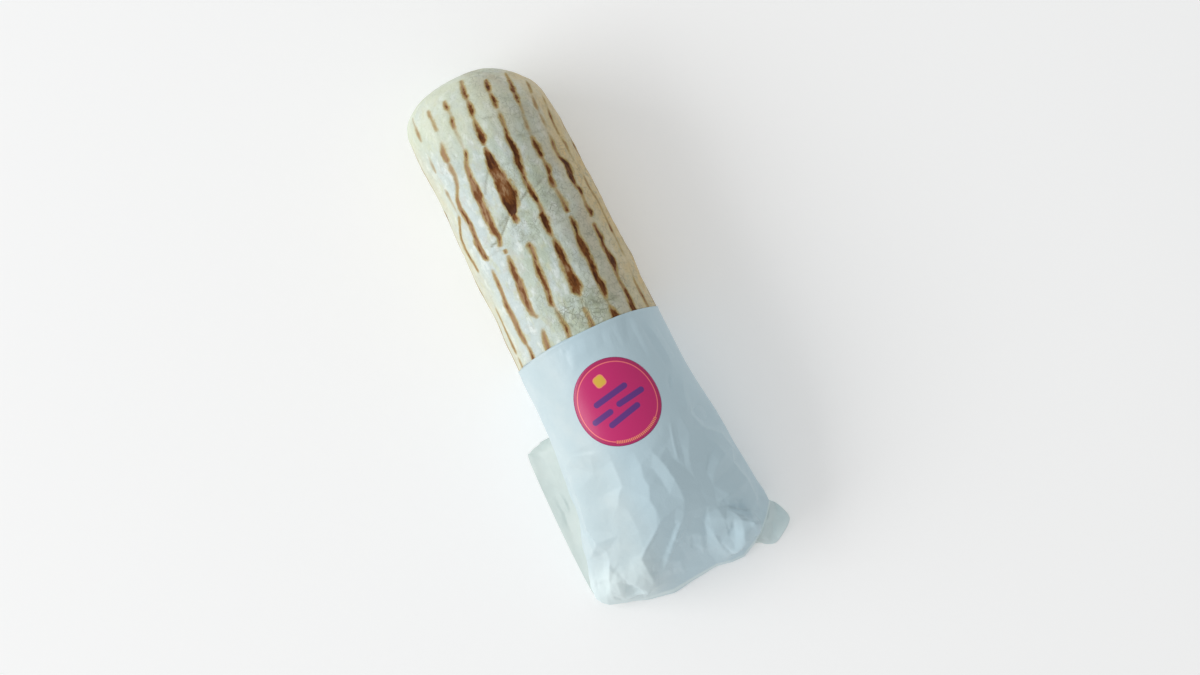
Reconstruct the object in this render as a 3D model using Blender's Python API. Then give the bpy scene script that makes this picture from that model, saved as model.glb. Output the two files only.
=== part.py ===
"""Shawarma wrap: a grilled flatbread roll, its flat paper bag and the round sticker on it.

The roll lies along X with its closed bread end at -X. The bag holds the +X half. Its mouth hugs the
round roll, it flattens and crumples towards the far end, and the spare end is folded under the roll,
where it lies on the table as a flat tail that shows at the -Y side. Lengths are in metres, +Z is up
and the table is z = 0. Angles round a section start at the top and turn towards +Y.
"""

import math
from dataclasses import dataclass

import bmesh
import bpy
import numpy as np

# Bread roll. Each station: x, -Y side, +Y side, top, floor of the section.
ROLL_STATIONS = (
    (-0.116, -0.0324, 0.0284, 0.0562, 0.0000),
    (-0.090, -0.0322, 0.0290, 0.0572, 0.0000),
    (-0.050, -0.0317, 0.0300, 0.0578, 0.0000),
    (0.000, -0.0318, 0.0309, 0.0582, 0.0000),
    (0.026, -0.0319, 0.0316, 0.0583, 0.0003),
    (0.042, -0.0320, 0.0320, 0.0568, 0.0013),
    (0.060, -0.0320, 0.0324, 0.0522, 0.0013),
    (0.084, -0.0320, 0.0324, 0.0412, 0.0013),
)
ROLL_TIP_X = -0.1160
ROLL_END_X = 0.0840
FLAT_SINK = 0.0012          # depth of the round section that the flat resting spot cuts off
TIP_LENGTH = 0.0270         # length of the rounded bread end, at the top and the bottom
TIP_SKEW = 0.0090           # it is this much longer at +Y and shorter at -Y
TIP_POWER = 2.3             # above 2 the end is squarer than an ellipse
END_LENGTH = 0.0120         # length of the rounded end inside the bag

# Free edge of the flatbread: it runs along the lower +Y side and round the closed end.
SEAM_ANGLE = math.radians(112.0)
SEAM_STEP = 0.0014
SEAM_FADE = math.radians(62.0)
SEAM_SHARPNESS = math.radians(1.5)
END_FOLD_DEPTH = 0.0016
END_FOLD_FADE = 0.62        # in radii of the end face
PLEAT_DEPTH = 0.0007
PLEAT_COUNT = 9
LUMP_HEIGHT = 0.00030       # soft unevenness of the bread over its filling
LUMP_WAVES = 7
LUMP_SEED = 11

# Paper bag. Each station: x, -Y side, +Y side, top, height of the widest point, floor.
BAG_STATIONS = (
    (0.000, -0.0321, 0.0312, 0.0586, 0.0286, 0.0000),
    (0.024, -0.0322, 0.0319, 0.0586, 0.0282, 0.0000),
    (0.042, -0.0329, 0.0334, 0.0578, 0.0264, 0.0010),
    (0.060, -0.0341, 0.0353, 0.0548, 0.0235, 0.0010),
    (0.075, -0.0364, 0.0368, 0.0500, 0.0190, 0.0010),
    (0.088, -0.0405, 0.0382, 0.0430, 0.0135, 0.0010),
    (0.098, -0.0434, 0.0388, 0.0345, 0.0085, 0.0010),
    (0.106, -0.0440, 0.0388, 0.0235, 0.0048, 0.0010),
    (0.112, -0.0440, 0.0386, 0.0130, 0.0030, 0.0012),
    (0.116, -0.0440, 0.0386, 0.0060, 0.0026, 0.0014),
)
PAPER_WALL = 0.0006
GAP = 0.0003                # free space between neighbouring pieces
MOUTH_X = 0.0014
MOUTH_CURVE = 0.0036        # the mouth's sides stand this much further back than its top
MOUTH_UNDER = 0.0010        # and the underside a little more again
HUG_END_X = 0.022           # the paper follows the bread up to here, and its own form from HUG_FREE_X
HUG_FREE_X = 0.046
FOLD_X = 0.1155             # the end of the bag, where it is folded under
FOLD_ROUND_LOW = 0.0110     # how far the end's -Y corner is rounded off along X
FOLD_ROUND_HIGH = 0.0165    # and its +Y corner
FOLD_CLOSE = 0.90           # the last tenth of the bag's length closes to the folded edge
BAG_SINK = 0.0017           # depth of the bag's own section that its flat underside cuts off

# Folded tail: its plan outline, clockwise from the hidden front corner, with the turned-up ear last.
TAIL_OUTLINE = (
    (0.0352, 0.0250), (0.0350, -0.0300), (0.0360, -0.0380), (0.0374, -0.0425), (0.0410, -0.0443),
    (0.0700, -0.0450), (0.0950, -0.0443), (0.1045, -0.0430), (0.1085, -0.0402), (0.1120, -0.0320),
    (0.1138, -0.0240), (0.1145, -0.0120), (0.1145, 0.0100), (0.1148, 0.0180), (0.1138, 0.0236),
    (0.1122, 0.0270), (0.1144, 0.0302), (0.1154, 0.0340), (0.1130, 0.0384), (0.1102, 0.0422),
    (0.1070, 0.0436), (0.1005, 0.0412), (0.0955, 0.0375), (0.0800, 0.0320), (0.0420, 0.0290),
)
TAIL_CENTRE = (0.0760, -0.0060)
TAIL_THICKNESS = 0.0015
TAIL_EDGE = 0.0007
EAR_START_Y = 0.0350        # the corner at +Y is turned up from here
EAR_SLOPE = 0.55

# Sticker: a thin disc that follows the paper.
STICKER_X = 0.0340
STICKER_Y = -0.0010
STICKER_RADIUS = 0.0190
STICKER_THICKNESS = 0.00035
PAPER_RADIUS = 0.0316       # radius of the paper's round part, which turns arc lengths into angles
SMOOTH_ROUND_STICKER = 0.0215
RELIEF_ROUND_STICKER = 0.0280

# Crumpling of the paper away from the mouth.
CRUMPLE_CELL = 0.0150
CRUMPLE_SOFT = 0.0006       # height on the barrel
CRUMPLE_HARD = 0.0016       # height past the end of the roll
CRUMPLE_SEED = 5

# Mesh densities.
ROUND_SIDES = 66            # round the roll and the bag alike, so that their facets stay parallel
TIP_RINGS = 10
BARREL_RINGS = 21
HIDDEN_XS = (0.012, 0.026, 0.034, 0.042, 0.051, 0.060, 0.066)
END_RINGS = 4
BAG_RINGS = 34
TAIL_SPACING = 0.0055
STICKER_SIDES = 40
STICKER_RINGS = 4

# The pieces are placed so that the middle of their bounding box is the origin.
FRAME_SHIFT = (0.0002, 0.0007, 0.0)

MERGE = 1e-6


@dataclass(frozen=True)
class Fold:
    """A crease in the paper: a ridge, or a valley if its height is negative, with two flat flanks.

    The path is a plan route over the top of the bag, and left and right are the flanks' widths on
    either side of it, seen along the path.
    """

    path: tuple
    height: float
    left: float
    right: float


MAIN_FOLDS = (
    # The long ridge from the roll's top to the corner at -Y.
    Fold(((0.052, -0.003), (0.060, 0.001), (0.070, 0.005), (0.082, 0.0065), (0.089, 0.0055),
          (0.094, -0.001), (0.100, -0.010), (0.106, -0.015), (0.112, -0.019)), 0.0026, 0.0085, 0.0200),
    # The valley beside it.
    Fold(((0.066, 0.016), (0.080, 0.011), (0.092, 0.008), (0.100, 0.003), (0.109, 0.003)),
         -0.0020, 0.0110, 0.0065),
    # Short crease behind the sticker.
    Fold(((0.047, 0.016), (0.054, 0.014), (0.060, 0.0125), (0.070, 0.0115)), 0.0009, 0.0080, 0.0030),
    # Broad folds on the +Y shoulder.
    Fold(((0.052, 0.028), (0.060, 0.024), (0.068, 0.019), (0.078, 0.018)), -0.0014, 0.0090, 0.0070),
    Fold(((0.066, 0.031), (0.074, 0.025), (0.084, 0.026), (0.092, 0.022)), 0.0013, 0.0070, 0.0060),
    # The hollow between the ridge and the -Y corner, and its bright edge.
    Fold(((0.083, -0.001), (0.089, -0.008), (0.097, -0.019)), -0.0022, 0.0055, 0.0050),
    Fold(((0.084, -0.007), (0.090, -0.014), (0.096, -0.023)), 0.0012, 0.0040, 0.0080),
    # The soft facet on the -Y flank.
    Fold(((0.050, -0.016), (0.058, -0.013), (0.065, -0.013), (0.073, -0.021), (0.084, -0.026)),
         0.0010, 0.0090, 0.0090),
    # The crumpled lump above the end fold.
    Fold(((0.090, 0.014), (0.096, 0.024), (0.101, 0.031)), 0.0022, 0.0050, 0.0080),
    Fold(((0.099, 0.012), (0.104, 0.019), (0.112, 0.022)), 0.0016, 0.0050, 0.0050),
    Fold(((0.095, 0.034), (0.104, 0.026), (0.112, 0.020)), -0.0020, 0.0045, 0.0045),
    # Small folds in the corner at -Y.
    Fold(((0.101, -0.024), (0.106, -0.031), (0.108, -0.038)), 0.0016, 0.0040, 0.0040),
)


def smooth(start, end, value):
    """Ease from 0 at start to 1 at end."""
    t = np.clip((value - start) / (end - start), 0.0, 1.0)
    return t * t * (3.0 - 2.0 * t)


def flow(stations, column, x):
    """Value of one station column at x, on a smooth curve through the stations."""
    xs = np.array([row[0] for row in stations])
    values = np.array([row[column] for row in stations])
    slopes = np.gradient(values, xs)
    low = np.clip(np.searchsorted(xs, x) - 1, 0, len(xs) - 2)
    span = xs[low + 1] - xs[low]
    t = np.clip((x - xs[low]) / span, 0.0, 1.0)
    rise = t * t * (3.0 - 2.0 * t)
    bend = t * (1.0 - t) * span * (slopes[low] * (1.0 - t) - slopes[low + 1] * t)
    return values[low] * (1.0 - rise) + values[low + 1] * rise + bend


def lift(grid, amount):
    """Move each point of a ring grid along its outward normal."""
    along = np.gradient(grid, axis=0)
    around = np.roll(grid, -1, axis=1) - np.roll(grid, 1, axis=1)
    normal = np.cross(along, around)
    length = np.linalg.norm(normal, axis=2, keepdims=True)
    normal = np.where(length > 1e-12, normal / np.maximum(length, 1e-12), 0.0)
    return grid + normal * amount[..., None]


# --- bread roll -------------------------------------------------------------------------------------


def mouth_x(theta):
    """X of the bag's mouth at an angle round the roll."""
    side = np.abs(np.sin(theta))
    under = np.where(np.cos(theta) < 0.0, 1.0 - side, 0.0)
    return MOUTH_X + np.where(np.cos(theta) < 0.0, MOUTH_CURVE, MOUTH_CURVE * side**3) + MOUTH_UNDER * under


def roll_section(x, theta, offset, fullness=1.0):
    """Point of the roll's section at x, grown by offset and scaled by fullness about its middle."""
    low = flow(ROLL_STATIONS, 1, x) - offset
    high = flow(ROLL_STATIONS, 2, x) + offset
    top = flow(ROLL_STATIONS, 3, x) + offset
    floor = np.maximum(flow(ROLL_STATIONS, 4, x) - offset, 0.0)
    bottom = floor - FLAT_SINK
    y = (low + high) / 2.0 + (high - low) / 2.0 * fullness * np.sin(theta)
    z = (top + bottom) / 2.0 + (top - bottom) / 2.0 * fullness * np.cos(theta)
    return y, np.maximum(z, floor)


def cap_profile(steps, power):
    """Fullness and remaining length fraction of each ring of a rounded end, pole first."""
    turn = np.linspace(0.0, math.pi / 2.0, steps + 1)[:-1, None]
    return np.sin(turn) ** (2.0 / power), np.cos(turn) ** (2.0 / power)


def roll_tip_rings(theta):
    """Rings of the closed bread end, from its pole to where the barrel starts."""
    fullness, remain = cap_profile(TIP_RINGS, TIP_POWER)
    x = ROLL_TIP_X + tip_length(theta) * (1.0 - remain)
    y, z = roll_section(x, theta, 0.0, fullness)
    return np.stack([x, y, z], axis=2), fullness + 0.0 * x


def tip_length(theta):
    """Length of the rounded bread end at an angle."""
    return TIP_LENGTH + TIP_SKEW * np.sin(theta)


def roll_barrel_rings(theta):
    """Rings of the bread that shows, from the rounded end to the bag's mouth."""
    start = ROLL_TIP_X + tip_length(theta)
    fraction = np.linspace(0.0, 1.0, BARREL_RINGS)[:, None]
    squeeze_start = mouth_x(theta) - 0.0026
    x = start + (squeeze_start - start) * fraction
    y, z = roll_section(x, theta, 0.0)
    return np.stack([x, y, z], axis=2)


def hidden_rings(theta, first_x, offset):
    """Rings of the roll inside the bag, from first_x to its hidden end, grown by offset."""
    rows = [np.broadcast_to(first_x, theta.shape)]
    rows += [np.full(theta.shape, x) for x in HIDDEN_XS]
    x = np.stack(rows)
    y, z = roll_section(x, theta, offset)
    barrel = np.stack([x, y, z], axis=2)
    fullness, remain = cap_profile(END_RINGS, 2.0)
    length = END_LENGTH + offset
    x = (ROLL_END_X + offset - length * (1.0 - remain[::-1])) + 0.0 * theta
    y, z = roll_section(x, theta, offset, fullness[::-1])
    return np.concatenate([barrel, np.stack([x, y, z], axis=2)])


def roll_relief(x, theta, fullness):
    """Height of the bread's surface over its plain form: free edge, end fold, pleats and lumps."""
    open_part = 1.0 - smooth(-0.014, -0.004, x)
    past_seam = (theta - SEAM_ANGLE) % (2.0 * math.pi)
    stepped = smooth(0.0, SEAM_SHARPNESS, past_seam) * (1.0 - smooth(0.0, SEAM_FADE, past_seam))
    seam = -SEAM_STEP * stepped * open_part * smooth(0.55, 0.95, fullness)

    across = fullness * np.sin(theta)
    up = fullness * np.cos(theta)
    below = -(up + 0.10 + 0.30 * across**2)
    on_end = 1.0 - smooth(0.90, 1.0, fullness)
    side_fade = smooth(-0.95, -0.35, across)
    tuck = smooth(0.0, 0.05, below) * (1.0 - smooth(0.0, END_FOLD_FADE, below))
    pleats = np.cos(PLEAT_COUNT * theta) * smooth(0.0, 0.3, below) * smooth(0.15, 0.6, fullness)
    end_fold = (-END_FOLD_DEPTH * tuck * side_fade + PLEAT_DEPTH * pleats) * on_end

    rng = np.random.default_rng(LUMP_SEED)
    lumps = np.zeros_like(x)
    for _ in range(LUMP_WAVES):
        turns = rng.integers(1, 4)
        wavelength = rng.uniform(0.022, 0.055)
        phase = rng.uniform(0.0, 2.0 * math.pi, 2)
        lumps += np.sin(2.0 * math.pi * x / wavelength + phase[0]) * np.sin(turns * theta + phase[1])
    lumps *= LUMP_HEIGHT / math.sqrt(LUMP_WAVES) * (1.0 + np.cos(theta)) * open_part * smooth(0.3, 1.0, fullness)
    return seam + end_fold + lumps


def round_angles():
    """Angles round a section, with a close pair at the bread's free edge and its mirror image above.

    They are alike over and under the middle, so that the bag's folded end can close point to point.
    """
    step = 2.0 * math.pi / ROUND_SIDES
    even = np.arange(ROUND_SIDES) * step
    pair = np.array([SEAM_ANGLE, SEAM_ANGLE + SEAM_SHARPNESS])
    pairs = np.concatenate([pair, math.pi - pair])
    clear = [angle for angle in even if np.abs(angle - pairs).min() > 0.4 * step]
    return np.sort(np.concatenate([clear, pairs]))


def make_roll():
    """The whole flatbread roll as one closed mesh."""
    theta = round_angles()
    tip, tip_fullness = roll_tip_rings(theta)
    barrel = roll_barrel_rings(theta)
    shown = np.concatenate([tip, barrel])
    fullness = np.concatenate([tip_fullness, np.ones(barrel.shape[:2])])
    shown = lift(shown, roll_relief(shown[..., 0], theta[None, :], fullness))
    shown[..., 2] = np.maximum(shown[..., 2], 0.0)
    hidden = hidden_rings(theta, mouth_x(theta) - 0.0008, -PAPER_WALL)
    return skin_mesh([shown, hidden], close_start=True, close_end=True)


# --- paper bag --------------------------------------------------------------------------------------


def fold_height(fold, x, y):
    """Height that one crease adds at plan points."""
    points = np.array(fold.path)
    steps = np.diff(points, axis=0)
    lengths = np.linalg.norm(steps, axis=1)
    walked = np.concatenate([[0.0], np.cumsum(lengths)])
    nearest = np.full(x.shape, np.inf)
    side = np.zeros(x.shape)
    travel = np.zeros(x.shape)
    for start, step, length, before in zip(points, steps, lengths, walked):
        dx, dy = x - start[0], y - start[1]
        t = np.clip((dx * step[0] + dy * step[1]) / length**2, 0.0, 1.0)
        away = np.hypot(dx - t * step[0], dy - t * step[1])
        closer = away < nearest
        nearest = np.where(closer, away, nearest)
        side = np.where(closer, step[0] * dy - step[1] * dx, side)
        travel = np.where(closer, before + t * length, travel)
    width = np.where(side > 0.0, fold.left, fold.right)
    share = travel / walked[-1]
    taper = smooth(0.0, 0.25, share) * (1.0 - smooth(0.75, 1.0, share))
    return fold.height * (0.25 + 0.75 * taper) * np.maximum(0.0, 1.0 - nearest / width)


def facets(along, around, turns, seed):
    """Seeded facet noise: flat triangles between random heights, closed after turns cells around."""
    rng = np.random.default_rng(seed)
    heights = rng.uniform(-1.0, 1.0, (64, turns))
    i = np.floor(along).astype(int)
    j = np.floor(around).astype(int)
    fi, fj = along - i, around - j
    flip = (i + j) % 2 == 1
    fj = np.where(flip, 1.0 - fj, fj)

    def corner(di, dj):
        return heights[(i + di) % 64, (j + np.where(flip, 1 - dj, dj)) % turns]

    near = corner(0, 0) * (1.0 - fi - fj) + corner(1, 0) * fi + corner(0, 1) * fj
    far = corner(1, 1) * (fi + fj - 1.0) + corner(0, 1) * (1.0 - fi) + corner(1, 0) * (1.0 - fj)
    return np.where(fi + fj < 1.0, near, far)


def bag_relief(x, y, theta):
    """Height of the paper over its plain form: the hand-set folds and the crumpling."""
    shoulder = smooth(-0.10, 0.25, np.cos(theta))
    folds = sum(fold_height(fold, x, y) for fold in MAIN_FOLDS) * shoulder
    turns = round(2.0 * math.pi * PAPER_RADIUS / CRUMPLE_CELL)
    warp = 0.35 * np.sin(3.0 * theta + x / 0.011)
    cell_x = x / CRUMPLE_CELL + warp
    cell_round = theta / (2.0 * math.pi) * turns + 0.4 * np.sin(x / 0.013)
    height = CRUMPLE_SOFT + (CRUMPLE_HARD - CRUMPLE_SOFT) * smooth(0.082, 0.100, x)
    crumple = facets(cell_x, cell_round, turns, CRUMPLE_SEED) * height
    from_sticker = np.hypot(x - STICKER_X, PAPER_RADIUS * wrapped(theta) - STICKER_Y)
    clear = smooth(SMOOTH_ROUND_STICKER, RELIEF_ROUND_STICKER, from_sticker)
    return (folds + crumple) * clear * smooth(0.034, 0.060, x)


def wrapped(theta):
    """Angle from the top, between minus and plus half a turn."""
    return (theta + math.pi) % (2.0 * math.pi) - math.pi


def fold_x(theta):
    """X of the folded end at an angle: straight in the middle, rounded at both corners."""
    across = np.sin(theta)
    low = FOLD_ROUND_LOW * np.abs(np.minimum(across, 0.0)) ** 6
    high = FOLD_ROUND_HIGH * np.maximum(across, 0.0) ** 3.5
    return FOLD_X - low - high


def bag_section(x, theta, closing=1.0):
    """Point of the bag's outer section at x; closing falls to 0 where the section pinches shut."""
    hug_y, hug_z = roll_section(x, theta, GAP)
    low, high, top, middle, floor = (flow(BAG_STATIONS, column, x) for column in range(1, 6))
    y = (low + high) / 2.0 + (high - low) / 2.0 * np.sin(theta)
    up = np.cos(theta)
    z = middle + np.where(up > 0.0, top - middle, middle - floor + BAG_SINK) * up * closing
    z = np.maximum(z, floor)
    free = smooth(HUG_END_X, HUG_FREE_X, x)
    return hug_y * (1.0 - free) + y * free, hug_z * (1.0 - free) + z * free


def bag_outer_rings(theta):
    """Rings of the bag's outside, from the mouth to the folded end."""
    share = np.linspace(0.0, 1.0, BAG_RINGS)[:, None]
    start = mouth_x(theta)
    x = start + (fold_x(theta) - start) * share
    closing = np.sqrt(np.maximum(1.0 - np.clip((share - FOLD_CLOSE) / (1.0 - FOLD_CLOSE), 0.0, 1.0) ** 2, 0.0))
    y, z = bag_section(x, theta, closing)
    rings = np.stack([x, y, z], axis=2)
    relief = bag_relief(x, y, theta + 0.0 * x) * (1.0 - smooth(0.93, 1.0, share))
    rings = lift(rings, relief)
    rings[..., 2] = np.maximum(rings[..., 2], 0.0)
    return rings


def closed_curve(points, spacing):
    """Points about spacing apart on a smooth closed curve through the given points."""
    ring = np.array(points)
    out = []
    for i in range(len(ring)):
        before, start, end, after = (ring[(i + k) % len(ring)] for k in (-1, 0, 1, 2))
        steps = max(1, round(float(np.linalg.norm(end - start)) / spacing))
        for t in np.arange(steps) / steps:
            bend = (end - before) * t * (1.0 - t) ** 2 - (after - start) * t * t * (1.0 - t)
            ease = t * t * (3.0 - 2.0 * t)
            out.append(start * (1.0 - ease) + end * ease + bend / 2.0)
    return np.array(out)


def make_tail():
    """The folded-under end of the bag: a thin flat piece with one corner turned up."""
    outline = closed_curve(TAIL_OUTLINE, TAIL_SPACING)
    centre = np.array(TAIL_CENTRE)
    mesh = bmesh.new()
    turned_up = np.maximum(outline[:, 1] - EAR_START_Y, 0.0) * EAR_SLOPE
    bottom = [mesh.verts.new((x, y, rise)) for (x, y), rise in zip(outline, turned_up)]
    rows = [bottom]
    for scale in (1.0, 0.965, 0.86, 0.62):
        thickness = TAIL_EDGE + (TAIL_THICKNESS - TAIL_EDGE) * (1.0 - scale**14)
        inner = centre + (outline - centre) * scale
        rise = np.maximum(inner[:, 1] - EAR_START_Y, 0.0) * EAR_SLOPE
        rows.append([mesh.verts.new((x, y, z + thickness)) for (x, y), z in zip(inner, rise)])
    for low, high in zip(rows, rows[1:]):
        join_rings(mesh, low, high)
    mesh.faces.new(rows[-1])
    inset = [mesh.verts.new((*(centre + (point - centre) * 0.84), 0.0)) for point in outline]
    join_rings(mesh, inset, bottom)
    mesh.faces.new(inset)
    return mesh


def make_bag():
    """The bag's shell as one closed mesh: its outside, and the hollow that the roll fills."""
    theta = round_angles()
    outer = bag_outer_rings(theta)[::-1]
    inner = hidden_rings(theta, mouth_x(theta), GAP - PAPER_WALL)
    return skin_mesh([outer, inner], close_start=False, close_end=True)


# --- sticker ----------------------------------------------------------------------------------------


def make_sticker():
    """A thin disc bent over the paper."""
    turn = np.arange(STICKER_SIDES) * 2.0 * math.pi / STICKER_SIDES
    mesh = bmesh.new()
    layers = []
    for height in (GAP, GAP + STICKER_THICKNESS):
        rings = []
        for ring in range(STICKER_RINGS + 1):
            radius = STICKER_RADIUS * ring / STICKER_RINGS
            x = STICKER_X + radius * np.cos(turn)
            theta = (STICKER_Y + radius * np.sin(turn)) / PAPER_RADIUS
            points = on_paper(x, theta, height)
            if ring == 0:
                points = points[:1]
            rings.append([mesh.verts.new(point) for point in points])
        layers.append(rings)
    for rings in layers:
        fan(mesh, rings[0][0], rings[1])
        for inner, outer in zip(rings[1:], rings[2:]):
            join_rings(mesh, inner, outer)
    join_rings(mesh, layers[0][-1], layers[1][-1])
    return mesh


def on_paper(x, theta, height):
    """Points at a height over the bag's plain outside."""
    step = 1e-4
    y, z = bag_section(x, theta)
    y_x, z_x = bag_section(x + step, theta)
    y_t, z_t = bag_section(x, theta + step)
    here = np.stack([x, y, z], axis=1)
    along = np.stack([x + step, y_x, z_x], axis=1) - here
    around = np.stack([x, y_t, z_t], axis=1) - here
    normal = np.cross(along, around)
    normal /= np.linalg.norm(normal, axis=1, keepdims=True)
    return here + normal * height


# --- meshes and objects -----------------------------------------------------------------------------


def join_rings(mesh, first, second):
    """Faces between two rings of equal length."""
    count = len(first)
    for i in range(count):
        j = (i + 1) % count
        mesh.faces.new((first[i], first[j], second[j], second[i]))


def fan(mesh, pole, ring):
    """Triangles from a pole to a ring."""
    for i, vertex in enumerate(ring):
        mesh.faces.new((pole, ring[(i + 1) % len(ring)], vertex))


def skin_mesh(grids, close_start, close_end):
    """Closed mesh over ring grids laid one after another, with a pole at each end that is closed."""
    rings = [ring for grid in grids for ring in grid]
    mesh = bmesh.new()
    rows = []
    for number, ring in enumerate(rings):
        is_pole = (number == 0 and close_start) or (number == len(rings) - 1 and close_end)
        points = ring.mean(axis=0)[None, :] if is_pole else ring
        rows.append([mesh.verts.new(point) for point in points])
    for first, second in zip(rows, rows[1:]):
        if len(first) == 1:
            fan(mesh, first[0], second)
        elif len(second) == 1:
            fan(mesh, second[0], first)
        else:
            join_rings(mesh, first, second)
    bmesh.ops.remove_doubles(mesh, verts=mesh.verts, dist=MERGE)
    return mesh


def material(name, colour, roughness):
    """A plain Principled material."""
    made = bpy.data.materials.new(name)
    made.use_nodes = True
    shader = made.node_tree.nodes["Principled BSDF"]
    shader.inputs["Base Color"].default_value = (*colour, 1.0)
    shader.inputs["Roughness"].default_value = roughness
    shader.inputs["Metallic"].default_value = 0.0
    return made


def add_object(name, mesh, finish):
    """Link a finished bmesh to the scene as a named object in its place."""
    bmesh.ops.dissolve_degenerate(mesh, edges=mesh.edges, dist=MERGE)
    bmesh.ops.recalc_face_normals(mesh, faces=mesh.faces)
    data = bpy.data.meshes.new(name)
    mesh.to_mesh(data)
    mesh.free()
    data.shade_smooth()
    data.set_sharp_from_angle(angle=math.radians(35.0))
    data.materials.append(finish)
    made = bpy.data.objects.new(name, data)
    made.location = FRAME_SHIFT
    bpy.context.scene.collection.objects.link(made)
    return made


def fuse(base, extra):
    """Join a second piece to the first by a Boolean union, and remove the second."""
    modifier = base.modifiers.new("fuse", "BOOLEAN")
    modifier.operation = "UNION"
    modifier.solver = "EXACT"
    modifier.object = extra
    bpy.context.view_layer.update()
    evaluated = base.evaluated_get(bpy.context.evaluated_depsgraph_get())
    joined = bpy.data.meshes.new_from_object(evaluated)
    base.modifiers.clear()
    base.data = joined
    bpy.data.objects.remove(extra)


def main():
    """Clear the scene and build the three pieces."""
    for old in list(bpy.data.objects):
        bpy.data.objects.remove(old)
    bread = material("grilled_flatbread", (0.60, 0.58, 0.42), 0.75)
    paper = material("white_paper", (0.72, 0.77, 0.79), 0.45)
    label = material("gloss_label", (0.62, 0.02, 0.16), 0.25)
    add_object("flatbread_roll", make_roll(), bread)
    bag = add_object("paper_bag", make_bag(), paper)
    tail = add_object("bag_tail", make_tail(), paper)
    fuse(bag, tail)
    add_object("round_sticker", make_sticker(), label)


main()
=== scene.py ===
"""Shawarma wrap, dressed: a grilled flatbread roll, its crumpled paper bag and the round label on it.

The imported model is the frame, and every piece made here stands for one of its nodes. X runs along the
roll from the closed bread end to the folded end of the bag, +Z is up and the table is z = 0. Angles
round a section start at the top and turn towards +Y. Tables that are read like a drawing are in
millimetres, and everything else is in metres.
"""

from __future__ import annotations

import itertools
import logging
import math
from collections.abc import Callable
from dataclasses import dataclass, field
from enum import Enum, IntEnum

import bmesh
import bpy
import numpy as np
from mathutils import Matrix, Vector
from mathutils.geometry import delaunay_2d_cdt

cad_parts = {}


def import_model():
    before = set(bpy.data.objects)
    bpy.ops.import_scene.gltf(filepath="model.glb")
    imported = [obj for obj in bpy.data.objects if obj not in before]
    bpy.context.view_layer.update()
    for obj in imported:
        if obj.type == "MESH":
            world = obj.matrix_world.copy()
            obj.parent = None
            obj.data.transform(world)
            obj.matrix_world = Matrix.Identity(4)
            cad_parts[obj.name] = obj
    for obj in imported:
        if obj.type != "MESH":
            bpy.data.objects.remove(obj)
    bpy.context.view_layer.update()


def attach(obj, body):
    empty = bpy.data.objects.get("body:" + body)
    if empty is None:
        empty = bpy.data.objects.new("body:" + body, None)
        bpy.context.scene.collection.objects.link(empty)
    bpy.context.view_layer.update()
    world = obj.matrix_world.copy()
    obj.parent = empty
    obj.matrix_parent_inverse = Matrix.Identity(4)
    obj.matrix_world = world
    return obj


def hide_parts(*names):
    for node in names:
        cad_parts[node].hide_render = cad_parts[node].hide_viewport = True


Array = np.ndarray
Plan = tuple[tuple[float, float], ...]
Colour = tuple[float, float, float]
Span = tuple[float, float]
Socket = bpy.types.NodeSocket
Sockets = bpy.types.bpy_prop_collection

MM = 0.001
BODY = "root"
FRAME_SHIFT = np.array((0.0002, 0.0007, 0.0))  # from the plan's origin to the frame's
PRINT_EDGE = 0.12  # half width of a printed shape's soft edge, in millimetres
LOG = logging.getLogger("shawarma_wrap")


# --- shared measures ---


def smooth(start: float, end: float, value: Array) -> Array:
    """Ease from 0 at start to 1 at end."""
    t = np.clip((value - start) / (end - start), 0.0, 1.0)
    return t * t * (3.0 - 2.0 * t)


def wrapped(theta: Array) -> Array:
    """Angle from the top, between minus and plus half a turn."""
    return (theta + math.pi) % (2.0 * math.pi) - math.pi


def flat_points(x: Array, y: Array) -> Array:
    """Points on the plane z = 0."""
    return np.stack([x, y, 0.0 * x], axis=-1)


def outward(grid: Array) -> Array:
    """Unit normals of a ring grid.

    Args:
        grid: Points, as rings by points by three coordinates.

    Returns:
        The normals, pointing out of the rings.
    """
    along = np.gradient(grid, axis=0)
    around = np.roll(grid, -1, axis=1) - np.roll(grid, 1, axis=1)
    normal = np.cross(along, around)
    length = np.linalg.norm(normal, axis=2, keepdims=True)
    return np.where(length > 1e-14, normal / np.maximum(length, 1e-14), 0.0)


def lifted(grid: Array, amount: Array) -> Array:
    """Move each point of a ring grid along its outward normal."""
    return grid + outward(grid) * amount[..., None]


@dataclass(frozen=True)
class Stations:
    """Sizes of a section at several places along X, joined by smooth curves."""

    rows: tuple[tuple[float, ...], ...]

    def value(self, column: int, x: Array) -> Array:
        """Read one column at x.

        Args:
            column: Which size of the section to read.
            x: Places along X.

        Returns:
            The size at each place.
        """
        xs = np.array([row[0] for row in self.rows])
        values = np.array([row[column] for row in self.rows])
        slopes = np.gradient(values, xs)
        low = np.clip(np.searchsorted(xs, x) - 1, 0, len(xs) - 2)
        span = xs[low + 1] - xs[low]
        t = np.clip((x - xs[low]) / span, 0.0, 1.0)
        rise = t * t * (3.0 - 2.0 * t)
        bend = t * (1.0 - t) * span * (slopes[low] * (1.0 - t) - slopes[low + 1] * t)
        return values[low] * (1.0 - rise) + values[low + 1] * rise + bend


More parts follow.
